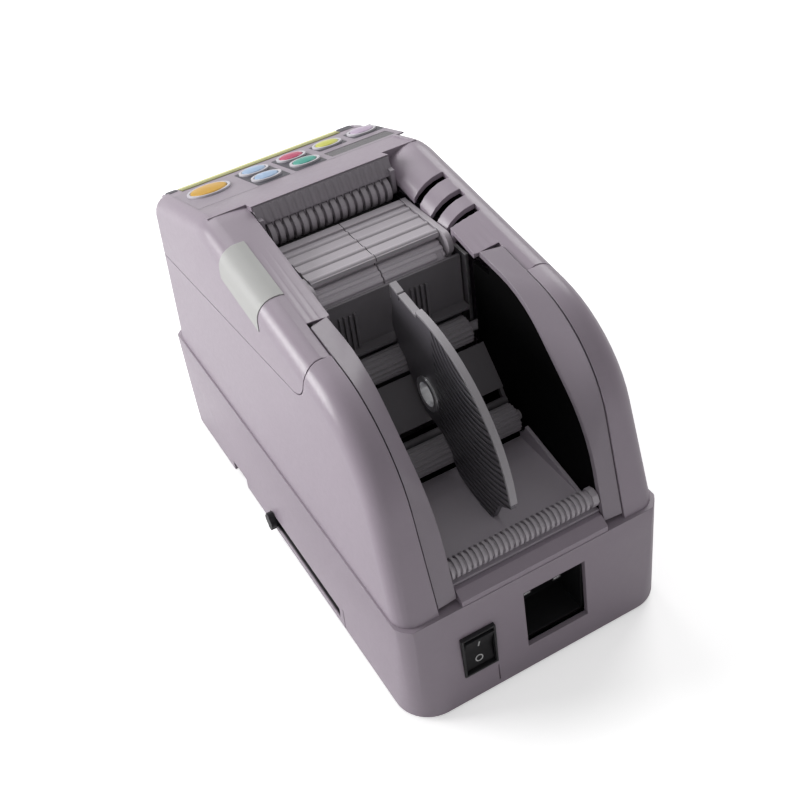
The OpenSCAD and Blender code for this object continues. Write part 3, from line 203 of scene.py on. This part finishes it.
def mixColor(tree, factor, first, second):
    node = addNode(tree, "ShaderNodeMix", data_type="RGBA")
    sockets = [s for s in node.inputs if s.type == "RGBA"]
    for socket, value in ((node.inputs[0], factor), (sockets[0], first), (sockets[1], second)):
        if isinstance(value, bpy.types.NodeSocket):
            tree.links.new(value, socket)
        else:
            socket.default_value = value if socket is node.inputs[0] else (*value[:3], 1.0)
    return next(s for s in node.outputs if s.type == "RGBA")


def shade(color, factor):
    return tuple(min(1.0, c * factor) for c in color)


def startMaterial(name):
    material = bpy.data.materials.new(name)
    material.use_nodes = True
    tree = material.node_tree
    return material, tree, tree.nodes["Principled BSDF"]


def setShader(shader, values):
    for key, value in values.items():
        shader.inputs[key].default_value = value


plasticUsual = {
    "grain": 1800.0,
    "cloud": 18.0,
    "depth": 0.3,
    "spread": 0.05,
    "speckle": 0.12,
    "edge": 0.0004,
    "wear": 0.35,
    "dust": 0.12,
    "dustColor": (0.62, 0.6, 0.6),
    "specular": 0.5,
    "shader": {},
}


def plasticFinish(name, look, pattern=None):
    # pattern(tree) may lay a colour, a height or a metal mask over the plain moulding
    look = {**plasticUsual, **look}
    material, tree, shader = startMaterial(name)
    grain = useGroup(tree, grainGroup, **{"Grain Scale": look["grain"], "Cloud Scale": look["cloud"]})
    wear = useGroup(tree, wearGroup, Width=look["edge"], Amount=look["wear"])
    dust = useGroup(tree, dustGroup, Amount=look["dust"])
    base, spread, rough = look["color"], look["spread"], look["rough"]
    laid = pattern(tree) if pattern else {}
    light = mixColor(tree, grain.outputs["Cloud"], shade(base, 1 - spread), shade(base, 1 + spread))
    for color, mask in laid.get("colors", ()):
        light = mixColor(tree, mask, light, color)
    speckle = mathNode(tree, "MULTIPLY", grain.outputs["Speckle"], look["speckle"])
    speckled = mixColor(tree, speckle, light, shade(base, 0.7))
    worn = mixColor(tree, wear.outputs["Edge"], speckled, shade(base, 1.6))
    dusty = mixColor(tree, dust.outputs["Dust"], worn, look["dustColor"])
    tree.links.new(dusty, shader.inputs["Base Color"])
    varied = addNode(tree, "ShaderNodeMapRange",
                     {"Value": grain.outputs["Speckle"], "To Min": rough - 0.05, "To Max": rough + 0.07})
    tree.links.new(varied.outputs[0], shader.inputs["Roughness"])
    height = mathNode(tree, "MULTIPLY", grain.outputs["Height"], look["depth"])
    if "height" in laid:
        height = mathNode(tree, "ADD", height, laid["height"])
    if "metal" in laid:
        tree.links.new(laid["metal"], shader.inputs["Metallic"])
    bump = addNode(tree, "ShaderNodeBump",
                   {"Height": height, "Normal": wear.outputs["Normal"], "Strength": 1.0, "Distance": 0.0001})
    tree.links.new(bump.outputs[0], shader.inputs["Normal"])
    setShader(shader, {"Specular IOR Level": look["specular"], **look["shader"]})
    return material


metalUsual = {
    "grain": 900.0,
    "cloud": 30.0,
    "stretch": (60.0, 3000.0, 3000.0),
    "edge": 0.0003,
    "wear": 0.6,
    "metal": 1.0,
}


def metalFinish(name, look):
    look = {**metalUsual, **look}
    material, tree, shader = startMaterial(name)
    brushing = useGroup(tree, brushGroup, Stretch=look["stretch"])
    wear = useGroup(tree, wearGroup, Width=look["edge"], Amount=look["wear"])
    grain = useGroup(tree, grainGroup, **{"Grain Scale": look["grain"], "Cloud Scale": look["cloud"]})
    base, rough = look["color"], look["rough"]
    tone = mixColor(tree, brushing.outputs[0], shade(base, 0.82), shade(base, 1.12))
    clouded = mixColor(tree, mathNode(tree, "MULTIPLY", grain.outputs["Cloud"], 0.3), tone, shade(base, 0.8))
    worn = mixColor(tree, wear.outputs["Edge"], clouded, shade(base, 1.3))
    tree.links.new(worn, shader.inputs["Base Color"])
    varied = addNode(tree, "ShaderNodeMapRange",
                     {"Value": brushing.outputs[0], "To Min": rough - 0.08, "To Max": rough + 0.12})
    tree.links.new(varied.outputs[0], shader.inputs["Roughness"])
    bump = addNode(tree, "ShaderNodeBump", {
        "Height": brushing.outputs[0],
        "Normal": wear.outputs["Normal"],
        "Strength": 0.25,
        "Distance": 0.00005,
    })
    tree.links.new(bump.outputs[0], shader.inputs["Normal"])
    setShader(shader, {"Metallic": look["metal"]})
    return material


# ---- places on the sloping key panel, in millimetres: x across, v up the slope, w out of it
panel = {"front": (0, -108.403, 129.0), "angle": 17.0797}
panelTilt = Matrix.Rotation(math.radians(panel["angle"]), 4, "X")
panelTurn = Matrix.Translation(Vector(panel["front"]) * mm) @ panelTilt


def alongSlope(tree):
    # distance up the panel from its front corner, in millimetres
    spot = tree.nodes.new("ShaderNodeTexCoord").outputs["Object"]
    place = addNode(tree, "ShaderNodeSeparateXYZ", {0: spot})
    a = math.radians(panel["angle"])
    run = mathNode(tree, "SUBTRACT", place.outputs["Y"], panel["front"][1] * mm)
    rise = mathNode(tree, "SUBTRACT", place.outputs["Z"], panel["front"][2] * mm)
    along = mathNode(tree, "MULTIPLY", run, math.cos(a))
    upward = mathNode(tree, "MULTIPLY", rise, math.sin(a))
    return mathNode(tree, "MULTIPLY", mathNode(tree, "ADD", along, upward), 1000.0)


def spotOf(tree):
    # the shaded spot in the part's own frame, in millimetres
    place = tree.nodes.new("ShaderNodeTexCoord").outputs["Object"]
    scaled = addNode(tree, "ShaderNodeVectorMath", {0: place, 3: 1000.0}, operation="SCALE")
    return addNode(tree, "ShaderNodeSeparateXYZ", {0: scaled.outputs[0]}).outputs


def within(tree, value, low, high):
    over = mathNode(tree, "GREATER_THAN", value, low)
    return mathNode(tree, "MULTIPLY", over, mathNode(tree, "LESS_THAN", value, high))


def farFrom(tree, spot, centre):
    # distance from a line along X through (y, z)
    dy = mathNode(tree, "SUBTRACT", spot["Y"], centre[0])
    dz = mathNode(tree, "SUBTRACT", spot["Z"], centre[1])
    flat = addNode(tree, "ShaderNodeCombineXYZ", {"X": dy, "Y": dz})
    return addNode(tree, "ShaderNodeVectorMath", {0: flat.outputs[0]}, operation="LENGTH").outputs["Value"]


def stripPattern(tree):
    # the strip turns olive behind its bright front band
    olive = {"from": 4.6, "color": (0.27, 0.27, 0.06)}
    behind = mathNode(tree, "GREATER_THAN", alongSlope(tree), olive["from"])
    return {"colors": [(olive["color"], behind)]}


def slotShadePattern(tree):
    # painted shade: the inside of the casing, seen through the lever slot, is darkened in the colour
    slot = {"x": (40.0, 59.3), "y": (-17.5, 52.5), "z": (5.0, 13.0), "color": (0.012, 0.011, 0.013)}
    spot = spotOf(tree)
    high = within(tree, spot["Z"], *slot["z"])
    inside = mathNode(tree, "MULTIPLY", within(tree, spot["Y"], *slot["y"]), high)
    deep = within(tree, spot["X"], *slot["x"])
    return {"colors": [(slot["color"], mathNode(tree, "MULTIPLY", inside, deep))]}


def dividerPattern(tree):
    # concentric grooves in the divider's face, with painted shade darkening the groove bottoms in the colour,
    # and the bright metal boss about its hole
    groove = {
        "centre": (77.2, 138.0),
        "pitch": 2.85,
        "from": 50.0,
        "face": 2.0,
        # the colour of the painted shade in the groove bottoms
        "color": (0.014, 0.013, 0.016),
        "shadeAmount": 0.8,
        "depth": 9.0,
    }
    boss = {"centre": (42.2, 93.0), "radius": 7.7, "color": (0.85, 0.85, 0.87)}
    spot = spotOf(tree)
    far = farFrom(tree, spot, groove["centre"])
    wave = mathNode(tree, "SINE", mathNode(tree, "MULTIPLY", far, 2 * math.pi / groove["pitch"]))
    cut = addNode(tree, "ShaderNodeMapRange", {"Value": wave, "From Min": -1.0, "From Max": 0.2}).outputs[0]
    behind = mathNode(tree, "GREATER_THAN", spot["Y"], groove["from"])
    side = mathNode(tree, "GREATER_THAN", spot["X"], groove["face"])
    shown = mathNode(tree, "MULTIPLY", behind, side)
    ring = mathNode(tree, "LESS_THAN", farFrom(tree, spot, boss["centre"]), boss["radius"])
    covered = mathNode(tree, "MULTIPLY", shown, groove["shadeAmount"])
    grooveShade = mathNode(tree, "MULTIPLY", mathNode(tree, "SUBTRACT", 1.0, cut), covered)
    return {
        "colors": [(groove["color"], grooveShade), (boss["color"], ring)],
        "height": mathNode(tree, "MULTIPLY", mathNode(tree, "MULTIPLY", cut, shown), groove["depth"]),
        "metal": ring,
    }


finishLooks = {
    "casing": {
        "color": (0.345, 0.29, 0.346),
        "rough": 0.33,
        "grain": 2200.0,
        "depth": 0.22,
        "dust": 0.05,
    },
    "base_shell": {
        "color": (0.33, 0.278, 0.33),
        "rough": 0.34,
        "grain": 2200.0,
        "depth": 0.22,
        "dust": 0.05,
    },
    # painted shade: the trim is a darker copy of the casing plastic, standing in for shade on faces turned away
    # from the lamps
    "trim": {"color": (0.29, 0.25, 0.292), "rough": 0.33, "grain": 2200.0, "depth": 0.22, "dust": 0.05},
    "comb": {"color": (0.33, 0.3, 0.335), "rough": 0.42, "dust": 0.05},
    # painted light: the bay floor is a lighter copy of the body plastic, raised to stand in for light that does
    # not reach into the bay
    "bay_floor": {"color": (0.56, 0.51, 0.57), "rough": 0.38, "dust": 0.06},
    "interior": {
        "color": (0.0025, 0.0024, 0.0026),
        "rough": 0.7,
        "grain": 1500.0,
        "depth": 0.5,
        "dust": 0.0,
        "specular": 0.05,
    },
    "bay_parts": {"color": (0.2, 0.185, 0.205), "rough": 0.45, "dust": 0.08},
    "divider": {"color": (0.15, 0.14, 0.16), "rough": 0.34, "dust": 0.04},
    "rim": {"color": (0.38, 0.36, 0.385), "rough": 0.4, "dust": 0.05},
    "roller": {"color": (0.46, 0.425, 0.462), "rough": 0.33, "dust": 0.06},
    # painted light: the drum is a lighter copy of the roller plastic, raised to stand in for light the drum
    # does not get
    "drum": {"color": (0.66, 0.61, 0.665), "rough": 0.3, "dust": 0.06},
    "small_roller": {"color": (0.42, 0.39, 0.425), "rough": 0.38, "dust": 0.06},
    "gear": {
        "color": (0.7, 0.68, 0.63),
        "rough": 0.35,
        "spread": 0.03,
        "shader": {"Subsurface Weight": 0.1, "Subsurface Radius": (0.002, 0.0015, 0.001)},
    },
    "rubber": {
        "color": (0.025, 0.025, 0.026),
        "rough": 0.7,
        "grain": 1200.0,
        "depth": 0.8,
        "dust": 0.2,
    },
    "board": {
        "color": (0.03, 0.13, 0.055),
        "rough": 0.3,
        "spread": 0.15,
        "shader": {"Coat Weight": 0.4},
    },
    "black": {"color": (0.012, 0.012, 0.014), "rough": 0.42, "dust": 0.03},
    "rocker": {
        "color": (0.01, 0.0095, 0.011),
        "specular": 0.22,
        "rough": 0.36,
        "depth": 0.05,
        "dust": 0.03,
    },
    "label": {
        "color": (0.46, 0.46, 0.45),
        "rough": 0.5,
        "spread": 0.02,
        "grain": 900.0,
        "depth": 0.15,
        "dust": 0.03,
        "wear": 0.1,
    },
    "strip": {
        "color": (0.7, 0.7, 0.3),
        "rough": 0.32,
        "spread": 0.03,
        "depth": 0.05,
        "dust": 0.03,
        "wear": 0.1,
    },
    "overlay": {
        "color": (0.33, 0.285, 0.333),
        "rough": 0.36,
        "spread": 0.03,
        "grain": 2600.0,
        "depth": 0.12,
        "dust": 0.05,
    },
    "collar": {"color": (0.6, 0.58, 0.62), "rough": 0.4, "spread": 0.03, "dust": 0.03},
    "display": {
        "color": (0.03, 0.02, 0.032),
        "rough": 0.18,
        "depth": 0.02,
        "dust": 0.02,
        "shader": {"Coat Weight": 0.5, "Coat Roughness": 0.1},
    },
    "print": {
        "color": (0.05, 0.046, 0.062),
        "rough": 0.36,
        "spread": 0.05,
        "depth": 0.08,
        "dust": 0.04,
    },
    "mark": {"color": (0.65, 0.65, 0.65), "rough": 0.45, "spread": 0.03, "dust": 0.02},
    "key_mauve": {"color": (0.5, 0.4, 0.53), "rough": 0.34, "depth": 0.1, "dust": 0.03},
    "key_yellow": {"color": (0.58, 0.58, 0.1), "rough": 0.34, "depth": 0.1, "dust": 0.03},
    "key_red": {"color": (0.5, 0.06, 0.14), "rough": 0.34, "depth": 0.1, "dust": 0.03},
    "key_green": {"color": (0.05, 0.34, 0.27), "rough": 0.34, "depth": 0.1, "dust": 0.03},
    "key_blue": {"color": (0.34, 0.47, 0.66), "rough": 0.34, "depth": 0.1, "dust": 0.03},
    "key_orange": {"color": (0.62, 0.34, 0.02), "rough": 0.34, "depth": 0.1, "dust": 0.03},
}
metalLooks = {
    "plate_steel": {"color": (0.55, 0.55, 0.56), "rough": 0.38},
    "steel": {"color": (0.68, 0.68, 0.7), "rough": 0.24},
    "pinion": {"color": (0.72, 0.55, 0.28), "rough": 0.3, "stretch": (3000.0, 400.0, 400.0)},
    "motor": {"color": (0.07, 0.07, 0.075), "rough": 0.35, "metal": 0.6},
    "pins": {"color": (0.75, 0.75, 0.76), "rough": 0.22, "stretch": (3000.0, 80.0, 3000.0)},
}
patterns = {"strip": stripPattern, "divider": dividerPattern, "base_shell": slotShadePattern}

finishes = {name: plasticFinish(name, look, patterns.get(name)) for name, look in finishLooks.items()}
finishes.update({name: metalFinish(name, look) for name, look in metalLooks.items()})
print("finishes made:", len(finishes))


# ---- the carried-over nodes: smooth across small facets, keep real edges
smoothSettings = {"angle": 31, "merge": 2e-6}


def buildSmoothing(settings):
    group = bpy.data.node_groups.new("smoothBelowAngle", "GeometryNodeTree")
    group.interface.new_socket("Geometry", in_out="INPUT", socket_type="NodeSocketGeometry")
    group.interface.new_socket("Geometry", in_out="OUTPUT", socket_type="NodeSocketGeometry")
    given, result = group.nodes.new("NodeGroupInput"), group.nodes.new("NodeGroupOutput")
    joined = addNode(group, "GeometryNodeMergeByDistance",
                     {"Geometry": given.outputs[0], "Distance": settings["merge"]})
    softened = addNode(group, "GeometryNodeSetShadeSmooth",
                       {"Geometry": joined.outputs[0], "Shade Smooth": True}, domain="FACE")
    angle = group.nodes.new("GeometryNodeInputMeshEdgeAngle")
    steep = addNode(group, "FunctionNodeCompare", {0: angle.outputs[0], 1: math.radians(settings["angle"])},
                    data_type="FLOAT", operation="GREATER_THAN")
    creased = addNode(group, "GeometryNodeSetShadeSmooth",
                      {"Geometry": softened.outputs[0], "Selection": steep.outputs[0], "Shade Smooth": False},
                      domain="EDGE")
    group.links.new(creased.outputs[0], result.inputs[0])
    return group


smoothing = buildSmoothing(smoothSettings)


def smoothPiece(piece):
    if "custom_normal" in piece.data.attributes:
        piece.data.attributes.remove(piece.data.attributes["custom_normal"])
    modifier = piece.modifiers.new("smoothBelowAngle", "NODES")
    modifier.node_group = smoothing


slotOf = {part["node"]: part["material_slot"] for part in frame["record"]["subparts"]}
ownLook = {
    "base_casing": "base_shell",
    "comb_plate": "comb",
    "bay_floor": "bay_floor",
    "drum_left": "drum",
    "drum_right": "drum",
}
for name, piece in nodes.items():
    piece.data.materials.clear()
    piece.data.materials.append(finishes[ownLook.get(name, slotOf[name])])
    smoothPiece(piece)
print("nodes dressed")


# ---- pieces made here
def addPiece(name, verts, faces, finish, body, smooth=True):
    mesh = bpy.data.meshes.new(name)
    mesh.from_pydata(verts, [], faces)
    mesh.validate()
    bm = bmesh.new()
    bm.from_mesh(mesh)
    bmesh.ops.recalc_face_normals(bm, faces=bm.faces)
    bm.to_mesh(mesh)
    bm.free()
    piece = bpy.data.objects.new(name, mesh)
    bpy.context.scene.collection.objects.link(piece)
    mesh.materials.append(finishes[finish])
    if smooth:
        smoothPiece(piece)
    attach(piece, body)
    return piece


def roundedOutline(width, height, corner, steps=6):
    points = []
    for sx, sy, start in ((1, 1, 0), (-1, 1, 90), (-1, -1, 180), (1, -1, 270)):
        for k in range(steps + 1):
            a = math.radians(start + 90 * k / steps)
            points.append((sx * (width / 2 - corner) + corner * math.cos(a),
                           sy * (height / 2 - corner) + corner * math.sin(a)))
    return points


def plate(outline, low, high):
    n = len(outline)
    verts = [(x, y, z) for z in (low, high) for x, y in outline]
    faces = [list(range(n))[::-1], list(range(n, 2 * n))]
    faces += [[i, (i + 1) % n, n + (i + 1) % n, n + i] for i in range(n)]
    return verts, faces


def onPanel(points):
    return [panelTurn @ (Vector(p) * mm) for p in points]


printedBoxes = {
    "low": 0.0,
    "high": 0.07,
    "corner": 1.2,
    "boxes": {
        "printBlue": (2.5, 15.0, 17.7, 47.8),
        "printRed": (-15.2, 15.4, -0.2, 47.4),
        "printYellow": (-33.0, 15.6, -19.0, 29.4),
        "printMauve": (-51.5, 15.6, -36.5, 29.4),
        "endBarLeft": (41.3, 0.8, 46.6, 5.2),
        "endBarRight": (-46.6, 0.8, -39.2, 7.6),
    },
}


def addPrintedBoxes(box):
    for name, (x0, v0, x1, v1) in box["boxes"].items():
        outline = [(x + (x0 + x1) / 2, v + (v0 + v1) / 2)
                   for x, v in roundedOutline(x1 - x0, v1 - v0, box["corner"])]
        verts, faces = plate(outline, box["low"], box["high"])
        addPiece(name, onPanel(verts), faces, "print", "lid_assembly")


addPrintedBoxes(printedBoxes)

keyCap = {
    "places": {
        "key_mauve": (-43.5, 21.8, 5.3),
        "key_yellow": (-25.8, 22.0, 5.3),
        "key_red": (-8.2, 21.2, 5.3),
        "key_green": (-8.3, 37.5, 5.3),
        "key_blue_front": (10.0, 21.0, 5.3),
        "key_blue_back": (10.2, 37.8, 5.3),
        "key_orange": (33.0, 25.3, 8.2),
    },
    "stem": {"radius": 2, "from": -3.3, "to": -2.2},
    "proud": 1.6,
    "crown": 0.35,
    "roundness": 0.7,
    "sides": 48,
}


def capProfile(cap, r):
    # radius and height from the stem's foot to the crown
    stem, bend, crown = cap["stem"], cap["roundness"], cap["crown"]
    shoulder = cap["proud"] - crown
    profile = [(stem["radius"], stem["from"]), (stem["radius"], stem["to"])]
    profile += [(r, stem["to"]), (r, shoulder - bend)]
    for a in (22, 45, 68, 90):
        turn = math.radians(a)
        profile.append((r - bend + bend * math.cos(turn), shoulder - bend + bend * math.sin(turn)))
    for t in (0.25, 0.5, 0.75):
        profile.append(((r - bend) * (1 - t), shoulder + crown * math.sin(t * math.pi / 2)))
    return profile


def addKeyCaps(cap):
    around = [2 * math.pi * k / cap["sides"] for k in range(cap["sides"])]
    for node, (x, v, r) in cap["places"].items():
        profile = capProfile(cap, r)
        verts, faces, sides = [], [], cap["sides"]
        for q, w in profile:
            verts += [(x + q * math.cos(a), v + q * math.sin(a), w) for a in around]
        rows = len(profile)
        for i in range(rows - 1):
            for k in range(sides):
                a, b = i * sides + k, i * sides + (k + 1) % sides
                faces.append([a, b, b + sides, a + sides])
        verts += [(x, v, cap["stem"]["from"]), (x, v, cap["proud"])]
        low, high, last = len(verts) - 2, len(verts) - 1, (rows - 1) * sides
        for k in range(sides):
            faces.append([low, (k + 1) % sides, k])
            faces.append([high, last + k, last + (k + 1) % sides])
        slot = slotOf[node]
        body = node[4:] + "_key"
        piece = addPiece("cap_" + node[4:], onPanel(verts), faces, slot, body)
        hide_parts(node)


addKeyCaps(keyCap)

rockerMarks = {
    "centre": (28.5, 108.3, 27.5),
    "top": {"from": (3.4, 0.0), "to": (6.2, 9.15)},
    "bottom": {"from": (3.4, 0.0), "to": (4.2, -9.15)},
    "bar": {"half": 0.3, "from": 2.4, "to": 6.6},
    "ring": {"at": 5.2, "radii": (1.75, 1.25), "sides": 32},
    "heights": (0.01, 0.06),
}


def onRocker(face, along, across, out):
    # along runs from the rocker's waist to its edge
    (y0, z0), (y1, z1) = face["from"], face["to"]
    length = math.hypot(y1 - y0, z1 - z0)
    ty, tz = (y1 - y0) / length, (z1 - z0) / length
    ny, nz = (tz, -ty) if tz > 0 else (-tz, ty)
    cx, cy, cz = rockerMarks["centre"]
    return Vector((cx + across, cy + y0 + ty * along + ny * out, cz + z0 + tz * along + nz * out)) * mm


def addRockerMarks(marks):
    bar, ring = marks["bar"], marks["ring"]
    half = bar["half"]
    corners = [(-half, bar["from"]), (half, bar["from"]), (half, bar["to"]), (-half, bar["to"])]
    n = len(corners)
    verts = [onRocker(marks["top"], along, x, out) for out in marks["heights"] for x, along in corners]
    faces = [list(range(n)), list(range(n, 2 * n))]
    faces += [[i, (i + 1) % n, n + (i + 1) % n, n + i] for i in range(n)]
    addPiece("markOn", verts, faces, "mark", "rocker", smooth=False)
    sides = ring["sides"]
    around = [2 * math.pi * k / sides for k in range(sides)]
    verts = []
    for out in marks["heights"]:
        for r in ring["radii"]:
            verts += [onRocker(marks["bottom"], ring["at"] + r * math.sin(a), r * math.cos(a), out)
                      for a in around]
    faces = []
    for k in range(sides):
        j = (k + 1) % sides
        for a, b in ((0, 1), (2, 3), (0, 2), (1, 3)):
            faces.append([a * sides + k, a * sides + j, b * sides + j, b * sides + k])
    addPiece("markOff", verts, faces, "mark", "rocker", smooth=False)


addRockerMarks(rockerMarks)

mainsPins = {
    "places": ((-14.0, 31.3), (-7.0, 33.3), (0.0, 31.3)),
    "wide": 4.1,
    "high": 2.1,
    "corner": 0.35,
    # along each pin, and how far its sides draw in there
    "rings": ((92.9, 0.0), (101.65, 0.0), (102.45, 0.25), (102.85, 0.55)),
}


def addMainsPins(pins):
    rings = pins["rings"]
    for i, (x, z) in enumerate(pins["places"]):
        verts, faces = [], []
        for y, inset in rings:
            for px, pz in roundedOutline(pins["wide"] - 2 * inset, pins["high"] - 2 * inset, pins["corner"], 3):
                verts.append(Vector((x + px, y, z + pz)) * mm)
        n = len(verts) // len(rings)
        for row in range(len(rings) - 1):
            near, far = row * n, (row + 1) * n
            faces += [[near + k, near + (k + 1) % n, far + (k + 1) % n, far + k] for k in range(n)]
        faces += [list(range(n)), list(range((len(rings) - 1) * n, len(rings) * n))]
        addPiece("mainsPin" + str(i + 1), verts, faces, "pins", "base")


addMainsPins(mainsPins)

# painted shade: a dark sheet stands behind the shoulder's slots
slotShadeSheet = {"x": (-49.0, -48.4), "y": (-60.0, 0.0), "z": (116.0, 137.0), "corner": 2.0}


def addSlotShadeSheet(shadeSheet):
    # a dark sheet inside the shoulder, behind the three slots, put there as painted shade where only shade
    # should show
    (y0, y1), (z0, z1) = shadeSheet["y"], shadeSheet["z"]
    outline = [(y + (y0 + y1) / 2, z + (z0 + z1) / 2)
               for y, z in roundedOutline(y1 - y0, z1 - z0, shadeSheet["corner"])]
    flat, faces = plate(outline, *shadeSheet["x"])
    verts = [Vector((x, y, z)) * mm for y, z, x in flat]
    addPiece("slotShadeSheet", verts, faces, "interior", "lid_assembly", smooth=False)


addSlotShadeSheet(slotShadeSheet)
print("pieces added")


# ---- floor, backdrop and light
studio = {
    "reach": 6.0,
    "floor": (0.93, 0.93, 0.93),
    "glow": 0.5,
    "world": 0.33,
    "lamps": {
        "overLeft": {"place": (1.85, -1.2, 0.9), "size": 1.3, "power": 46.0},
        "overRight": {"place": (-1.3, -1.0, 1.2), "size": 1.2, "power": 14.0},
        "front": {"place": (0.1, -1.4, 1.3), "size": 1.2, "power": 8.0},
    },
    "aim": (0.0, 0.0, 0.07),
}


def addStudio(settings):
    mesh = bpy.data.meshes.new("studioFloor")
    s = settings["reach"]
    mesh.from_pydata([(-s, -s, 0), (s, -s, 0), (s, s, 0), (-s, s, 0)], [], [[0, 1, 2, 3]])
    floor = bpy.data.objects.new("studioFloor", mesh)
    bpy.context.scene.collection.objects.link(floor)
    material, tree, shader = startMaterial("studioFloor")
    setShader(shader, {"Base Color": (*settings["floor"], 1.0), "Roughness": 0.9, "Specular IOR Level": 0.1})
    seen = tree.nodes.new("ShaderNodeLightPath").outputs["Is Camera Ray"]
    tree.links.new(mathNode(tree, "MULTIPLY", seen, settings["glow"]), shader.inputs["Emission Strength"])
    setShader(shader, {"Emission Color": (1.0, 1.0, 1.0, 1.0)})
    mesh.materials.append(material)
    world = bpy.data.worlds.new("studioAir")
    bpy.context.scene.world = world
    world.use_nodes = True
    tree = world.node_tree
    tree.nodes.clear()
    path = tree.nodes.new("ShaderNodeLightPath")
    level = addNode(tree, "ShaderNodeMapRange",
                    {"Value": path.outputs["Is Camera Ray"], "To Min": settings["world"], "To Max": 1.0})
    light = addNode(tree, "ShaderNodeBackground",
                    {"Color": (1.0, 1.0, 1.0, 1.0), "Strength": level.outputs[0]})
    result = tree.nodes.new("ShaderNodeOutputWorld")
    tree.links.new(light.outputs[0], result.inputs[0])
    for name, lamp in settings["lamps"].items():
        data = bpy.data.lights.new(name, "AREA")
        data.shape = "DISK"
        data.size = lamp["size"]
        data.energy = lamp["power"]
        piece = bpy.data.objects.new(name, data)
        bpy.context.scene.collection.objects.link(piece)
        piece.location = lamp["place"]
        aim = Vector(settings["aim"]) - Vector(lamp["place"])
        piece.rotation_mode = "QUATERNION"
        piece.rotation_quaternion = aim.to_track_quat("-Z", "Y")


addStudio(studio)
bpy.context.scene.view_settings.view_transform = "Standard"
print("studio lit")
